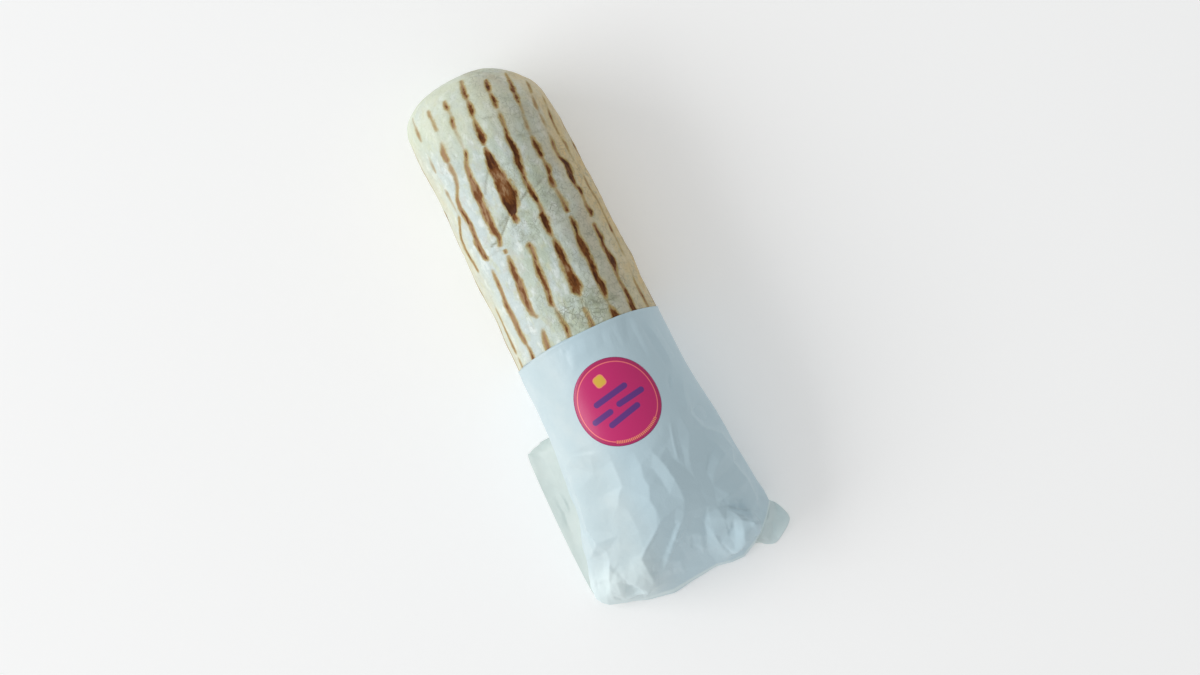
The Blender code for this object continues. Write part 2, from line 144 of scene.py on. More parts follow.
@dataclass(frozen=True)
class SoftNoise:
    """Seeded smooth noise in space, between about -1 and 1."""

    seed: int
    cells: int = 32

    def at(self, points: Array, wavelength: float | tuple[float, float, float]) -> Array:
        """Noise at points.

        Args:
            points: Any array whose last axis holds three coordinates.
            wavelength: Size of the noise's cells, the same or different along each axis.

        Returns:
            One value for each point.
        """
        table = np.random.default_rng(self.seed).uniform(-1.0, 1.0, (self.cells,) * 3)
        cell = points / np.asarray(wavelength)
        base = np.floor(cell).astype(int)
        t = cell - base
        t = t * t * t * (t * (6.0 * t - 15.0) + 10.0)
        total = np.zeros(points.shape[:-1])
        for corner in itertools.product((0, 1), repeat=3):
            share = np.prod(np.where(np.array(corner) == 1, t, 1.0 - t), axis=-1)
            i, j, k = np.moveaxis((base + corner) % self.cells, -1, 0)
            total += share * table[i, j, k]
        return total


@dataclass(frozen=True)
class FlatNet:
    """Flat triangles between points that have a height over the ground, joined along the given edges."""

    points: Array
    heights: Array
    edges: tuple[tuple[int, int], ...] = ()
    ground: Callable[[Array, Array], Array] | None = None

    def height(self, u: Array, v: Array) -> Array:
        """Height of the net over flat coordinates.

        Args:
            u: First coordinate of each place.
            v: Second coordinate of each place.

        Returns:
            The heights over the ground, 0 outside the net.
        """
        scale = 100.0
        whole_hull = 0
        spots = [Vector(point * scale) for point in self.points]
        made = delaunay_2d_cdt(spots, list(self.edges), [], whole_hull, 1e-6)
        corners = np.array([tuple(corner) for corner in made[0]]) / scale
        levels = np.array([float(np.mean(self.heights[source])) if source else 0.0 for source in made[3]])
        out = np.zeros(u.shape)
        if self.ground is not None:
            levels += self.ground(corners[:, 0], corners[:, 1])
            out += self.ground(u, v)
        flat_u, flat_v, flat_out = u.ravel(), v.ravel(), out.ravel()
        order = np.argsort(flat_u, kind="stable")
        sorted_u = flat_u[order]
        for a, b, c in made[2]:
            (ax, ay), (bx, by), (cx, cy) = corners[a], corners[b], corners[c]
            first = np.searchsorted(sorted_u, min(ax, bx, cx))
            last = np.searchsorted(sorted_u, max(ax, bx, cx), side="right")
            chosen = order[first:last]
            area = (bx - ax) * (cy - ay) - (cx - ax) * (by - ay)
            if not len(chosen) or abs(area) < 1e-12:
                continue
            px, py = flat_u[chosen] - ax, flat_v[chosen] - ay
            share_b = (px * (cy - ay) - (cx - ax) * py) / area
            share_c = ((bx - ax) * py - px * (by - ay)) / area
            share_a = 1.0 - share_b - share_c
            inside = np.minimum(np.minimum(share_a, share_b), share_c) >= -1e-9
            value = share_a * levels[a] + share_b * levels[b] + share_c * levels[c]
            flat_out[chosen[inside]] = value[inside]
        return out if self.ground is None else out - self.ground(u, v)


@dataclass(frozen=True)
class CrumpleNet:
    """Flat triangles between seeded points of random height, which is how crumpled paper breaks up."""

    spacing: float
    seed: int
    jitter: float = 0.42

    def height(self, u: Array, v: Array) -> Array:
        """Height of the net over flat coordinates.

        Args:
            u: First coordinate of each place.
            v: Second coordinate of each place.

        Returns:
            The heights, between -1 and 1.
        """
        rng = np.random.default_rng(self.seed)
        columns = np.arange(math.floor(u.min() / self.spacing) - 1, math.ceil(u.max() / self.spacing) + 2)
        rows = np.arange(math.floor(v.min() / self.spacing) - 1, math.ceil(v.max() / self.spacing) + 2)
        grid = np.stack(np.meshgrid(columns, rows), axis=-1).reshape(-1, 2).astype(float)
        grid = (grid + rng.uniform(-self.jitter, self.jitter, grid.shape)) * self.spacing
        return FlatNet(grid, rng.uniform(-1.0, 1.0, len(grid))).height(u, v)


@dataclass(frozen=True)
class FoldNet:
    """Flat facets of the folded paper, between chains of points that are ridges, valleys and borders.

    Each point is x, y in plan and the height over the plain form, in millimetres.
    """

    chains: tuple[tuple[tuple[float, float, float], ...], ...]

    def height(self, x: Array, y: Array, ground: Callable[[Array, Array], Array]) -> Array:
        """Height of the facets over the ground.

        Args:
            x: X of the places.
            y: Y of the places.
            ground: Gives the plain form's height at plan points.

        Returns:
            The heights in metres, 0 outside the net.
        """
        knots = np.array([knot for chain in self.chains for knot in chain]) * MM
        edges: list[tuple[int, int]] = []
        before = 0
        for chain in self.chains:
            edges += [(before + i, before + i + 1) for i in range(len(chain) - 1)]
            before += len(chain)
        return FlatNet(knots[:, :2], knots[:, 2], tuple(edges), ground).height(x, y)


@dataclass(frozen=True)
class Crease:
    """A crease over the top: a ridge, or a valley if its height is negative, with two flat flanks.

    The path is a plan route, and left and right are the flanks' widths on either side of it, seen
    along the path. All are in millimetres. Tint is how much painted shade darkens the surface along the
    crease.
    """

    path: Plan
    height: float
    left: float
    right: float
    tint: float = 0.0

    def reach(self, x: Array, y: Array) -> tuple[Array, Array]:
        """How near plan points are to the crease.

        Args:
            x: X of the points, in metres.
            y: Y of the points, in metres.

        Returns:
            The distance to the path in metres, and the flank share, 1 on the path and 0 off the flanks,
            faded towards both ends of the path.
        """
        points = np.array(self.path) * MM
        steps = np.diff(points, axis=0)
        lengths = np.linalg.norm(steps, axis=1)
        walked = np.concatenate([[0.0], np.cumsum(lengths)])
        nearest = np.full(x.shape, np.inf)
        side = np.zeros(x.shape)
        travel = np.zeros(x.shape)
        for start, step, length, before in zip(points, steps, lengths, walked):
            dx, dy = x - start[0], y - start[1]
            t = np.clip((dx * step[0] + dy * step[1]) / length**2, 0.0, 1.0)
            away = np.hypot(dx - t * step[0], dy - t * step[1])
            closer = away < nearest
            nearest = np.where(closer, away, nearest)
            side = np.where(closer, step[0] * dy - step[1] * dx, side)
            travel = np.where(closer, before + t * length, travel)
        width = np.where(side > 0.0, self.left, self.right) * MM
        share = travel / walked[-1]
        taper = 0.25 + 0.75 * smooth(0.0, 0.25, share) * (1.0 - smooth(0.75, 1.0, share))
        return nearest, taper * np.maximum(0.0, 1.0 - nearest / width)

    def relief(self, x: Array, y: Array) -> Array:
        """Height that the crease adds at plan points."""
        return self.height * MM * self.reach(x, y)[1]


# --- forms shared by the pieces ---


@dataclass(frozen=True)
class RollForm:
    """Plain form of the roll: stations of x, -Y side, +Y side, top and floor, and its rounded ends."""

    stations: Stations = Stations((
        (-0.116, -0.0324, 0.0284, 0.0562, 0.0000),
        (-0.090, -0.0318, 0.0289, 0.0572, 0.0000),
        (-0.078, -0.0315, 0.0288, 0.0574, 0.0000),
        (-0.064, -0.0317, 0.0291, 0.0576, 0.0000),
        (-0.050, -0.0319, 0.0299, 0.0578, 0.0000),
        (0.000, -0.0318, 0.0309, 0.0582, 0.0000),
        (0.026, -0.0319, 0.0316, 0.0583, 0.0003),
        (0.042, -0.0320, 0.0320, 0.0568, 0.0013),
        (0.060, -0.0320, 0.0324, 0.0522, 0.0013),
        (0.084, -0.0320, 0.0324, 0.0412, 0.0013),
    ))
    tip_x: float = -0.1160
    end_x: float = 0.0840
    flat_sink: float = 0.0012
    tip_length: float = 0.0270
    tip_skew: float = 0.0090
    tip_power: float = 2.3
    end_length: float = 0.0120
    radius: float = 0.0302

    def section(self, x: Array, theta: Array, offset: float | Array, fullness: float | Array = 1.0) -> Array:
        """Points of the section.

        Args:
            x: Place along the roll.
            theta: Angle round the section.
            offset: How far the section is grown.
            fullness: Scale of the section about its middle.

        Returns:
            Points, with their three coordinates on the last axis.
        """
        low = self.stations.value(1, x) - offset
        high = self.stations.value(2, x) + offset
        top = self.stations.value(3, x) + offset
        floor = np.maximum(self.stations.value(4, x) - offset, 0.0)
        bottom = floor - self.flat_sink
        y = (low + high) / 2.0 + (high - low) / 2.0 * fullness * np.sin(theta)
        z = (top + bottom) / 2.0 + (top - bottom) / 2.0 * fullness * np.cos(theta)
        return np.stack(np.broadcast_arrays(x, y, np.maximum(z, floor)), axis=-1)

    def tip_reach(self, theta: Array) -> Array:
        """Length of the rounded bread end at an angle."""
        return self.tip_length + self.tip_skew * np.sin(theta)

    def fullness(self, x: Array, theta: Array) -> Array:
        """Scale of the section at x in the rounded bread end, 1 past it."""
        remain = np.clip(1.0 - (x - self.tip_x) / self.tip_reach(theta), 0.0, 1.0)
        return (1.0 - remain**self.tip_power) ** (1.0 / self.tip_power)

    def angle_at(self, x: float, y: float) -> float:
        """Angle of the surface point over a plan point on the upper half.

        Args:
            x: X of the point.
            y: Y of the point.

        Returns:
            The angle round the section.
        """
        middle = float(self.stations.value(1, np.array(x)) + self.stations.value(2, np.array(x))) / 2.0
        half = float(self.stations.value(2, np.array(x))) - middle
        theta = 0.0
        for _ in range(6):
            full = max(float(self.fullness(np.array(x), np.array(theta))), 0.05)
            theta = math.asin(min(max((y - middle) / (half * full), -1.0), 1.0))
        return theta


@dataclass(frozen=True)
class BagForm:
    """Plain form of the bag: stations of x, -Y side, +Y side, top, height of the widest point, floor."""

    roll: RollForm = RollForm()
    stations: Stations = Stations((
        (0.000, -0.0321, 0.0312, 0.0586, 0.0286, 0.0000),
        (0.024, -0.0322, 0.0319, 0.0586, 0.0282, 0.0000),
        (0.042, -0.0329, 0.0334, 0.0578, 0.0264, 0.0010),
        (0.060, -0.0341, 0.0353, 0.0548, 0.0235, 0.0010),
        (0.075, -0.0364, 0.0368, 0.0500, 0.0190, 0.0010),
        (0.088, -0.0405, 0.0382, 0.0430, 0.0135, 0.0010),
        (0.098, -0.0434, 0.0388, 0.0345, 0.0085, 0.0010),
        (0.106, -0.0440, 0.0388, 0.0235, 0.0046, 0.0008),
        (0.112, -0.0440, 0.0386, 0.0130, 0.0024, 0.0004),
        (0.116, -0.0440, 0.0386, 0.0050, 0.0012, 0.0000),
    ))
    gap: float = 0.0003
    mouth: float = 0.0014
    mouth_curve: float = 0.0036
    mouth_under: float = 0.0010
    hug_end: float = 0.022
    hug_free: float = 0.046
    fold_line: Plan = (
        (-43.9, 104.4), (-42.5, 106.8), (-40.1, 109.0), (-33.0, 111.6), (-25.5, 113.4), (-13.3, 115.5),
        (-2.3, 114.5), (7.8, 113.8), (14.0, 115.2), (19.5, 115.3), (26.7, 111.6), (31.0, 108.2),
        (35.0, 104.0), (38.4, 99.4),
    )
    fold_close: float = 0.90
    sink: float = 0.0017
    radius: float = 0.0316

    def mouth_x(self, theta: Array) -> Array:
        """X of the mouth.

        Args:
            theta: Angles round the section.

        Returns:
            X at each angle.
        """
        side = np.abs(np.sin(theta))
        over = np.cos(theta) >= 0.0
        under = np.where(over, 0.0, 1.0 - side)
        return self.mouth + self.mouth_curve * np.where(over, side**3, 1.0) + self.mouth_under * under

    def past_lip(self, depth: Array) -> Array:
        """How far the wall has thickened behind its thin lip, from 0 to 1, at a depth inside the mouth."""
        return smooth(0.0008, 0.0062, depth)

    def fold_x(self, theta: Array) -> Array:
        """X of the folded end, read from the fold line's y and x in plan.

        Args:
            theta: Angles round the section.

        Returns:
            X at each angle.
        """
        _, low, high, *_ = self.stations.rows[-1]
        y = (low + high) / 2.0 + (high - low) / 2.0 * np.sin(theta)
        line = np.array(self.fold_line) * MM
        return np.interp(y, line[:, 0], line[:, 1])

    def section(self, x: Array, theta: Array, closing: float | Array = 1.0) -> Array:
        """Points of the outer section.

        Args:
            x: Place along the bag.
            theta: Angle round the section.
            closing: 1 in the open bag, falling to 0 where the section pinches shut.

        Returns:
            Points, with their three coordinates on the last axis.
        """
        hug = self.roll.section(x, theta, self.gap)
        low, high, top, middle, floor = (self.stations.value(column, x) for column in range(1, 6))
        y = (low + high) / 2.0 + (high - low) / 2.0 * np.sin(theta)
        up = np.cos(theta)
        z = middle + np.where(up > 0.0, top - middle, middle - floor + self.sink) * up * closing
        own = np.stack(np.broadcast_arrays(x, y, np.maximum(z, floor)), axis=-1)
        free = smooth(self.hug_end, self.hug_free, x)[..., None]
        return hug * (1.0 - free) + own * free

    def top_at(self, x: Array, y: Array) -> Array:
        """Height of the upper half over plan points.

        Args:
            x: X of the points.
            y: Y of the points.

        Returns:
            The heights.
        """
        low, high = self.stations.value(1, x), self.stations.value(2, x)
        across = np.clip((2.0 * y - low - high) / (high - low), -1.0, 1.0)
        return self.section(x, np.arcsin(across))[..., 2]


# --- meshes ---


class Closing(Enum):
    """How the first ring of a mesh closes."""

    POLE = "in one point"
    PINCHED = "on itself, where its two halves meet"


def ring_mesh(name: str, rings: Array, start: Closing, values: dict[str, Array]) -> bpy.types.Mesh:
    """Closed mesh over rings of points. The last ring always closes in one point.

    Args:
        name: Name of the mesh.
        rings: Points, as rings by points by three coordinates.
        start: How the first ring closes.
        values: Named number fields over the same rings, stored on the points.

    Returns:
        The mesh, smooth and facing out.
    """
    count, columns = rings.shape[:2]
    fields = {key: value.reshape(-1) for key, value in values.items()}
    points = rings.reshape(-1, 3) + FRAME_SHIFT
    row = np.arange(columns)
    after = (row + 1) % columns
    start_pole = start is Closing.POLE
    first = np.arange(1 if start_pole else 0, count - 2)[:, None] * columns
    quads = np.stack([first + row, first + after, first + columns + after, first + columns + row], axis=-1)
    faces = quads.reshape(-1, 4).tolist()
    poles = [(count - 1, count - 2, 1)] + ([(0, 1, -1)] if start_pole else [])
    for pole_ring, neighbour, turn in poles:
        pole = pole_ring * columns
        ring = neighbour * columns
        points[pole] = points[pole : pole + columns].mean(axis=0)
        pairs = zip(ring + row, ring + after)
        faces += [(int(a), int(b), pole)[::turn] for a, b in pairs]
    mesh = bpy.data.meshes.new(name)
    mesh.from_pydata(points.tolist(), [], faces)
    for key, value in fields.items():
        attribute = mesh.attributes.new(key, "FLOAT", "POINT")
        attribute.data.foreach_set("value", value.astype(np.float32))
    work = bmesh.new()
    work.from_mesh(mesh)
    bmesh.ops.delete(work, geom=[v for v in work.verts if not v.link_faces], context="VERTS")
    bmesh.ops.remove_doubles(work, verts=work.verts, dist=1e-6)
    bmesh.ops.dissolve_degenerate(work, edges=work.edges, dist=1e-7)
    bmesh.ops.recalc_face_normals(work, faces=work.faces)
    work.to_mesh(mesh)
    work.free()
    mesh.shade_smooth()
    return mesh


def add_piece(
    name: str, mesh: bpy.types.Mesh, finish: bpy.types.Material, node: str
) -> bpy.types.Object:
    """Link a finished mesh as a piece that stands for a node.

    Args:
        name: Name of the piece.
        mesh: Its mesh, in place.
        finish: Its material.
        node: The node that it stands for.

    Returns:
        The new object.
    """
    mesh.materials.append(finish)
    piece = bpy.data.objects.new(name, mesh)
    bpy.context.scene.collection.objects.link(piece)
    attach(piece, BODY)
    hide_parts(node)
    LOG.info("%s: %d faces, stands for %s", name, len(mesh.polygons), node)
    return piece


# --- node sheets and shared groups ---


class MixSocket(IntEnum):
    """Numbers of a mix node's sockets for colours."""

    FACTOR = 0
    UNDER = 6
    OVER = 7
    RESULT = 2


@dataclass
class NodeSheet:
    """Adds nodes to a tree and links them."""

    tree: bpy.types.NodeTree

    def add(self, kind: str, settings: dict | None = None, inputs: dict | None = None) -> bpy.types.Node:
        """Add a node.

        Args:
            kind: The node's type name.
            settings: Properties of the node by name.
            inputs: Values or sockets for its inputs, by name or number.

        Returns:
            The node.
        """
        node = self.tree.nodes.new(kind)
        for key, value in (settings or {}).items():
            setattr(node, key, value)
        for key, value in (inputs or {}).items():
            self.feed(node.inputs[key], value)
        return node

    def feed(self, socket: Socket, value: Socket | float | tuple) -> None:
        """Link a socket to another, or set its value.

        Args:
            socket: The input to feed.
            value: Where its value comes from, or the value itself.
        """
        if isinstance(value, bpy.types.NodeSocket):
            self.tree.links.new(value, socket)
        elif socket.type == "RGBA":
            socket.default_value = (*value[:3], 1.0)
        else:
            socket.default_value = value

    def math(self, operation: str, a: Socket | float, b: Socket | float = 0.0) -> Socket:
        """Result of a math node."""
        return self.add("ShaderNodeMath", {"operation": operation}, {0: a, 1: b}).outputs[0]

    def plus(self, a: Socket | float, b: Socket | float) -> Socket:
        """Sum of two values."""
        return self.math("ADD", a, b)

    def minus(self, a: Socket | float, b: Socket | float) -> Socket:
        """First value less the second."""
        return self.math("SUBTRACT", a, b)

    def times(self, a: Socket | float, b: Socket | float) -> Socket:
        """Product of two values."""
        return self.math("MULTIPLY", a, b)

    def scaled(self, value: Socket, factor: float, added: float) -> Socket:
        """Value times a factor, plus a constant."""
        inputs = {0: value, 1: factor, 2: added}
        return self.add("ShaderNodeMath", {"operation": "MULTIPLY_ADD"}, inputs).outputs[0]

    def swing(self, mask: Socket) -> Socket:
        """A mask from 0 to 1 as a value from -1 to 1."""
        return self.times(self.minus(mask, 0.5), 2.0)

    def length(self, a: Socket, b: Socket) -> Socket:
        """Length of the arrow with these two sides."""
        return self.math("SQRT", self.plus(self.times(a, a), self.times(b, b)))

    def vector(self, operation: str, a: Socket, b: Socket | tuple) -> bpy.types.Node:
        """A vector math node."""
        return self.add("ShaderNodeVectorMath", {"operation": operation}, {0: a, 1: b})

    def ease(self, value: Socket, low: float | Socket, high: float | Socket) -> Socket:
        """Ease from 0 at low to 1 at high."""
        inputs = {"Value": value, "From Min": low, "From Max": high}
        return self.add("ShaderNodeMapRange", {"interpolation_type": "SMOOTHSTEP"}, inputs).outputs[0]

    def band(self, away: Socket, half: float, soft: float) -> Socket:
        """A band from its distance to the middle, half its width and the half width of its soft edge."""
        return self.minus(1.0, self.ease(away, half - soft, half + soft))

    def over(self, under: Socket | Colour, colour: Socket | Colour, share: Socket | float) -> Socket:
        """Lay a colour over another.

        Args:
            under: The colour below.
            colour: The colour above.
            share: How much of it shows.

        Returns:
            The resulting colour.
        """
        inputs = {MixSocket.FACTOR: share, MixSocket.UNDER: under, MixSocket.OVER: colour}
        node = self.add("ShaderNodeMix", {"data_type": "RGBA", "clamp_factor": True}, inputs)
        return node.outputs[MixSocket.RESULT]

    def noise(self, place: Socket, per_metre: Socket) -> bpy.types.Node:
        """Plain noise of a size."""
        return self.add("ShaderNodeTexNoise", inputs={"Vector": place, "Scale": per_metre})

    def cell_edges(self, place: Socket, per_metre: Socket) -> Socket:
        """Distance to the nearest edge in a net of cells."""
        inputs = {"Vector": place, "Scale": per_metre}
        return self.add("ShaderNodeTexVoronoi", {"feature": "DISTANCE_TO_EDGE"}, inputs).outputs[0]

    def bump(self, shader: bpy.types.Node, height: Socket, depth: float, strength: float = 1.0) -> None:
        """Roughen a shader's surface by a height map."""
        inputs = {"Distance": depth, "Height": height, "Strength": strength}
        self.feed(shader.inputs["Normal"], self.add("ShaderNodeBump", inputs=inputs).outputs[0])

    def read(self, name: str) -> Socket:
        """A number field of the mesh."""
        return self.add("ShaderNodeAttribute", {"attribute_name": name}).outputs["Fac"]

    def place(self) -> Socket:
        """Coordinates of the piece, in metres."""
        return self.add("ShaderNodeTexCoord").outputs["Object"]

    def group(self, tree: bpy.types.NodeTree, inputs: dict) -> Socket:
        """Output of a shader node group, placed with its own values."""
        return self.add("ShaderNodeGroup", {"node_tree": tree}, inputs).outputs[0]


def new_group(
    name: str, values: dict[str, float], output: str, vectors: tuple[str, ...] = ()
) -> tuple[bpy.types.NodeTree, NodeSheet, Sockets, Socket]:
    """Start a shader node group.

    Args:
        name: Its name.
        values: Its number inputs, with their defaults.
        output: Its one output, a number.
        vectors: Its vector inputs.

    Returns:
        The tree, its node sheet, the sockets that bring the inputs in, and the socket of the result.
    """
    tree = bpy.data.node_groups.new(name, "ShaderNodeTree")
    for vector in vectors:
        tree.interface.new_socket(vector, in_out="INPUT", socket_type="NodeSocketVector")
    for number, default in values.items():
        made = tree.interface.new_socket(number, in_out="INPUT", socket_type="NodeSocketFloat")
        made.default_value = default
    tree.interface.new_socket(output, in_out="OUTPUT", socket_type="NodeSocketFloat")
    sheet = NodeSheet(tree)
    return tree, sheet, sheet.add("NodeGroupInput").outputs, sheet.add("NodeGroupOutput").inputs[output]


def mottle_group() -> bpy.types.NodeTree:
    """Uneven patches: a mask with soft or hard edges, stretched along X if asked.

    Returns:
        The group's tree.
    """
    tree, sheet, given, mask = new_group(
        "surface_mottle",
        {"Per Metre": 100.0, "Along": 1.0, "Detail": 3.0, "Low": 0.35, "High": 0.65},
        "Mask",
        ("Place",),
    )
    scale = sheet.add("ShaderNodeCombineXYZ", inputs={"X": given["Along"], "Y": 1.0, "Z": 1.0})
    stretched = sheet.vector("MULTIPLY", given["Place"], scale.outputs[0])
    noise = sheet.noise(stretched.outputs[0], given["Per Metre"])
    sheet.feed(noise.inputs["Detail"], given["Detail"])
    sheet.feed(noise.inputs["Roughness"], 0.55)
    sheet.feed(mask, sheet.ease(noise.outputs[0], given["Low"], given["High"]))
    return tree


def grain_group() -> bpy.types.NodeTree:
    """Fine surface grain: a height from two scales of noise and a net of faint wrinkles.

    Returns:
        The group's tree.
    """
    tree, sheet, given, height = new_group(
        "surface_grain",
        {"Fine Per Metre": 1500.0, "Coarse Per Metre": 400.0, "Wrinkles": 0.0},
        "Height",
        ("Place",),
    )
    place = given["Place"]
    fine = sheet.noise(place, given["Fine Per Metre"]).outputs[0]
    coarse = sheet.noise(place, given["Coarse Per Metre"]).outputs[0]
    net = sheet.cell_edges(place, sheet.times(given["Coarse Per Metre"], 0.6))
    wrinkles = sheet.times(sheet.ease(net, 0.0, 0.25), given["Wrinkles"])
    sheet.feed(height, sheet.plus(sheet.plus(sheet.times(fine, 0.35), coarse), wrinkles))
    return tree


def crackle_group() -> bpy.types.NodeTree:
    """A bent net of thin lines, as in dry dough or creased paper, broken up in patches.

    Returns:
        The group's tree.
    """
    tree, sheet, given, mask = new_group(
        "surface_crackle",
        {"Per Metre": 300.0, "Width": 0.08, "Bend": 0.0015},
        "Mask",
        ("Place",),
    )
    place, per_metre = given["Place"], given["Per Metre"]
    warp = sheet.noise(place, sheet.times(per_metre, 0.8)).outputs["Color"]
    centred = sheet.vector("SUBTRACT", warp, (0.5, 0.5, 0.5)).outputs[0]
    pushed = sheet.add("ShaderNodeVectorMath", {"operation": "SCALE"}, {0: centred, "Scale": given["Bend"]})
    bent = sheet.vector("ADD", place, pushed.outputs[0]).outputs[0]
    line = sheet.minus(1.0, sheet.ease(sheet.cell_edges(bent, per_metre), 0.0, given["Width"]))
    patch = sheet.noise(place, sheet.times(per_metre, 0.6)).outputs[0]
    sheet.feed(mask, sheet.times(line, sheet.ease(patch, 0.44, 0.60)))
    return tree


def bar_group() -> bpy.types.NodeTree:
    """A straight printed bar with round ends, at any place and angle on a label.

    Returns:
        The group's tree.
    """
    placed = dict.fromkeys(("U", "V", "Centre U", "Centre V", "Cosine", "Sine"), 0.0)
    sized = {"Half Length": 5.0, "Half Height": 1.0}
    tree, sheet, given, mask = new_group("printed_bar", placed | sized, "Mask")
    cosine, sine, half_height = given["Cosine"], given["Sine"], given["Half Height"]
    u = sheet.minus(given["U"], given["Centre U"])
    v = sheet.minus(given["V"], given["Centre V"])
    along = sheet.plus(sheet.times(u, cosine), sheet.times(v, sine))
    across = sheet.minus(sheet.times(v, cosine), sheet.times(u, sine))
    straight = sheet.minus(given["Half Length"], half_height)
    past = sheet.math("MAXIMUM", sheet.minus(sheet.math("ABSOLUTE", along), straight), 0.0)
    inside = sheet.minus(half_height, sheet.length(past, across))
    sheet.feed(mask, sheet.ease(inside, -PRINT_EDGE, PRINT_EDGE))
    return tree


@dataclass
class SharedGroups:
    """The node groups that the finishes place, each built once."""

    mottle: bpy.types.NodeTree = field(default_factory=mottle_group)
    grain: bpy.types.NodeTree = field(default_factory=grain_group)
    crackle: bpy.types.NodeTree = field(default_factory=crackle_group)
    bar: bpy.types.NodeTree = field(default_factory=bar_group)


# --- finishes ---


def new_material(name: str) -> tuple[bpy.types.Material, NodeSheet, bpy.types.Node]:
    """Start a node material.

    Args:
        name: Its name.

    Returns:
        The material, its node sheet and its Principled shader.
    """
    made = bpy.data.materials.new(name)
    made.use_nodes = True
    return made, NodeSheet(made.node_tree), made.node_tree.nodes["Principled BSDF"]


@dataclass(frozen=True)
class Mottle:
    """Patches on the bread: how many to a metre, how short along X, their detail and their soft edges."""

    per_metre: float
    along: float
    detail: float
    low: float = 0.2
    high: float = 0.8

    def inputs(self, place: Socket) -> dict:
        """Inputs of the mottle's node group.

        Args:
            place: Where the patches are read, in metres.

        Returns:
            Values and sockets by name.
        """
        return {
            "Place": place,
            "Per Metre": self.per_metre,
            "Along": self.along,
            "Detail": self.detail,
            "Low": self.low,
            "High": self.high,
        }


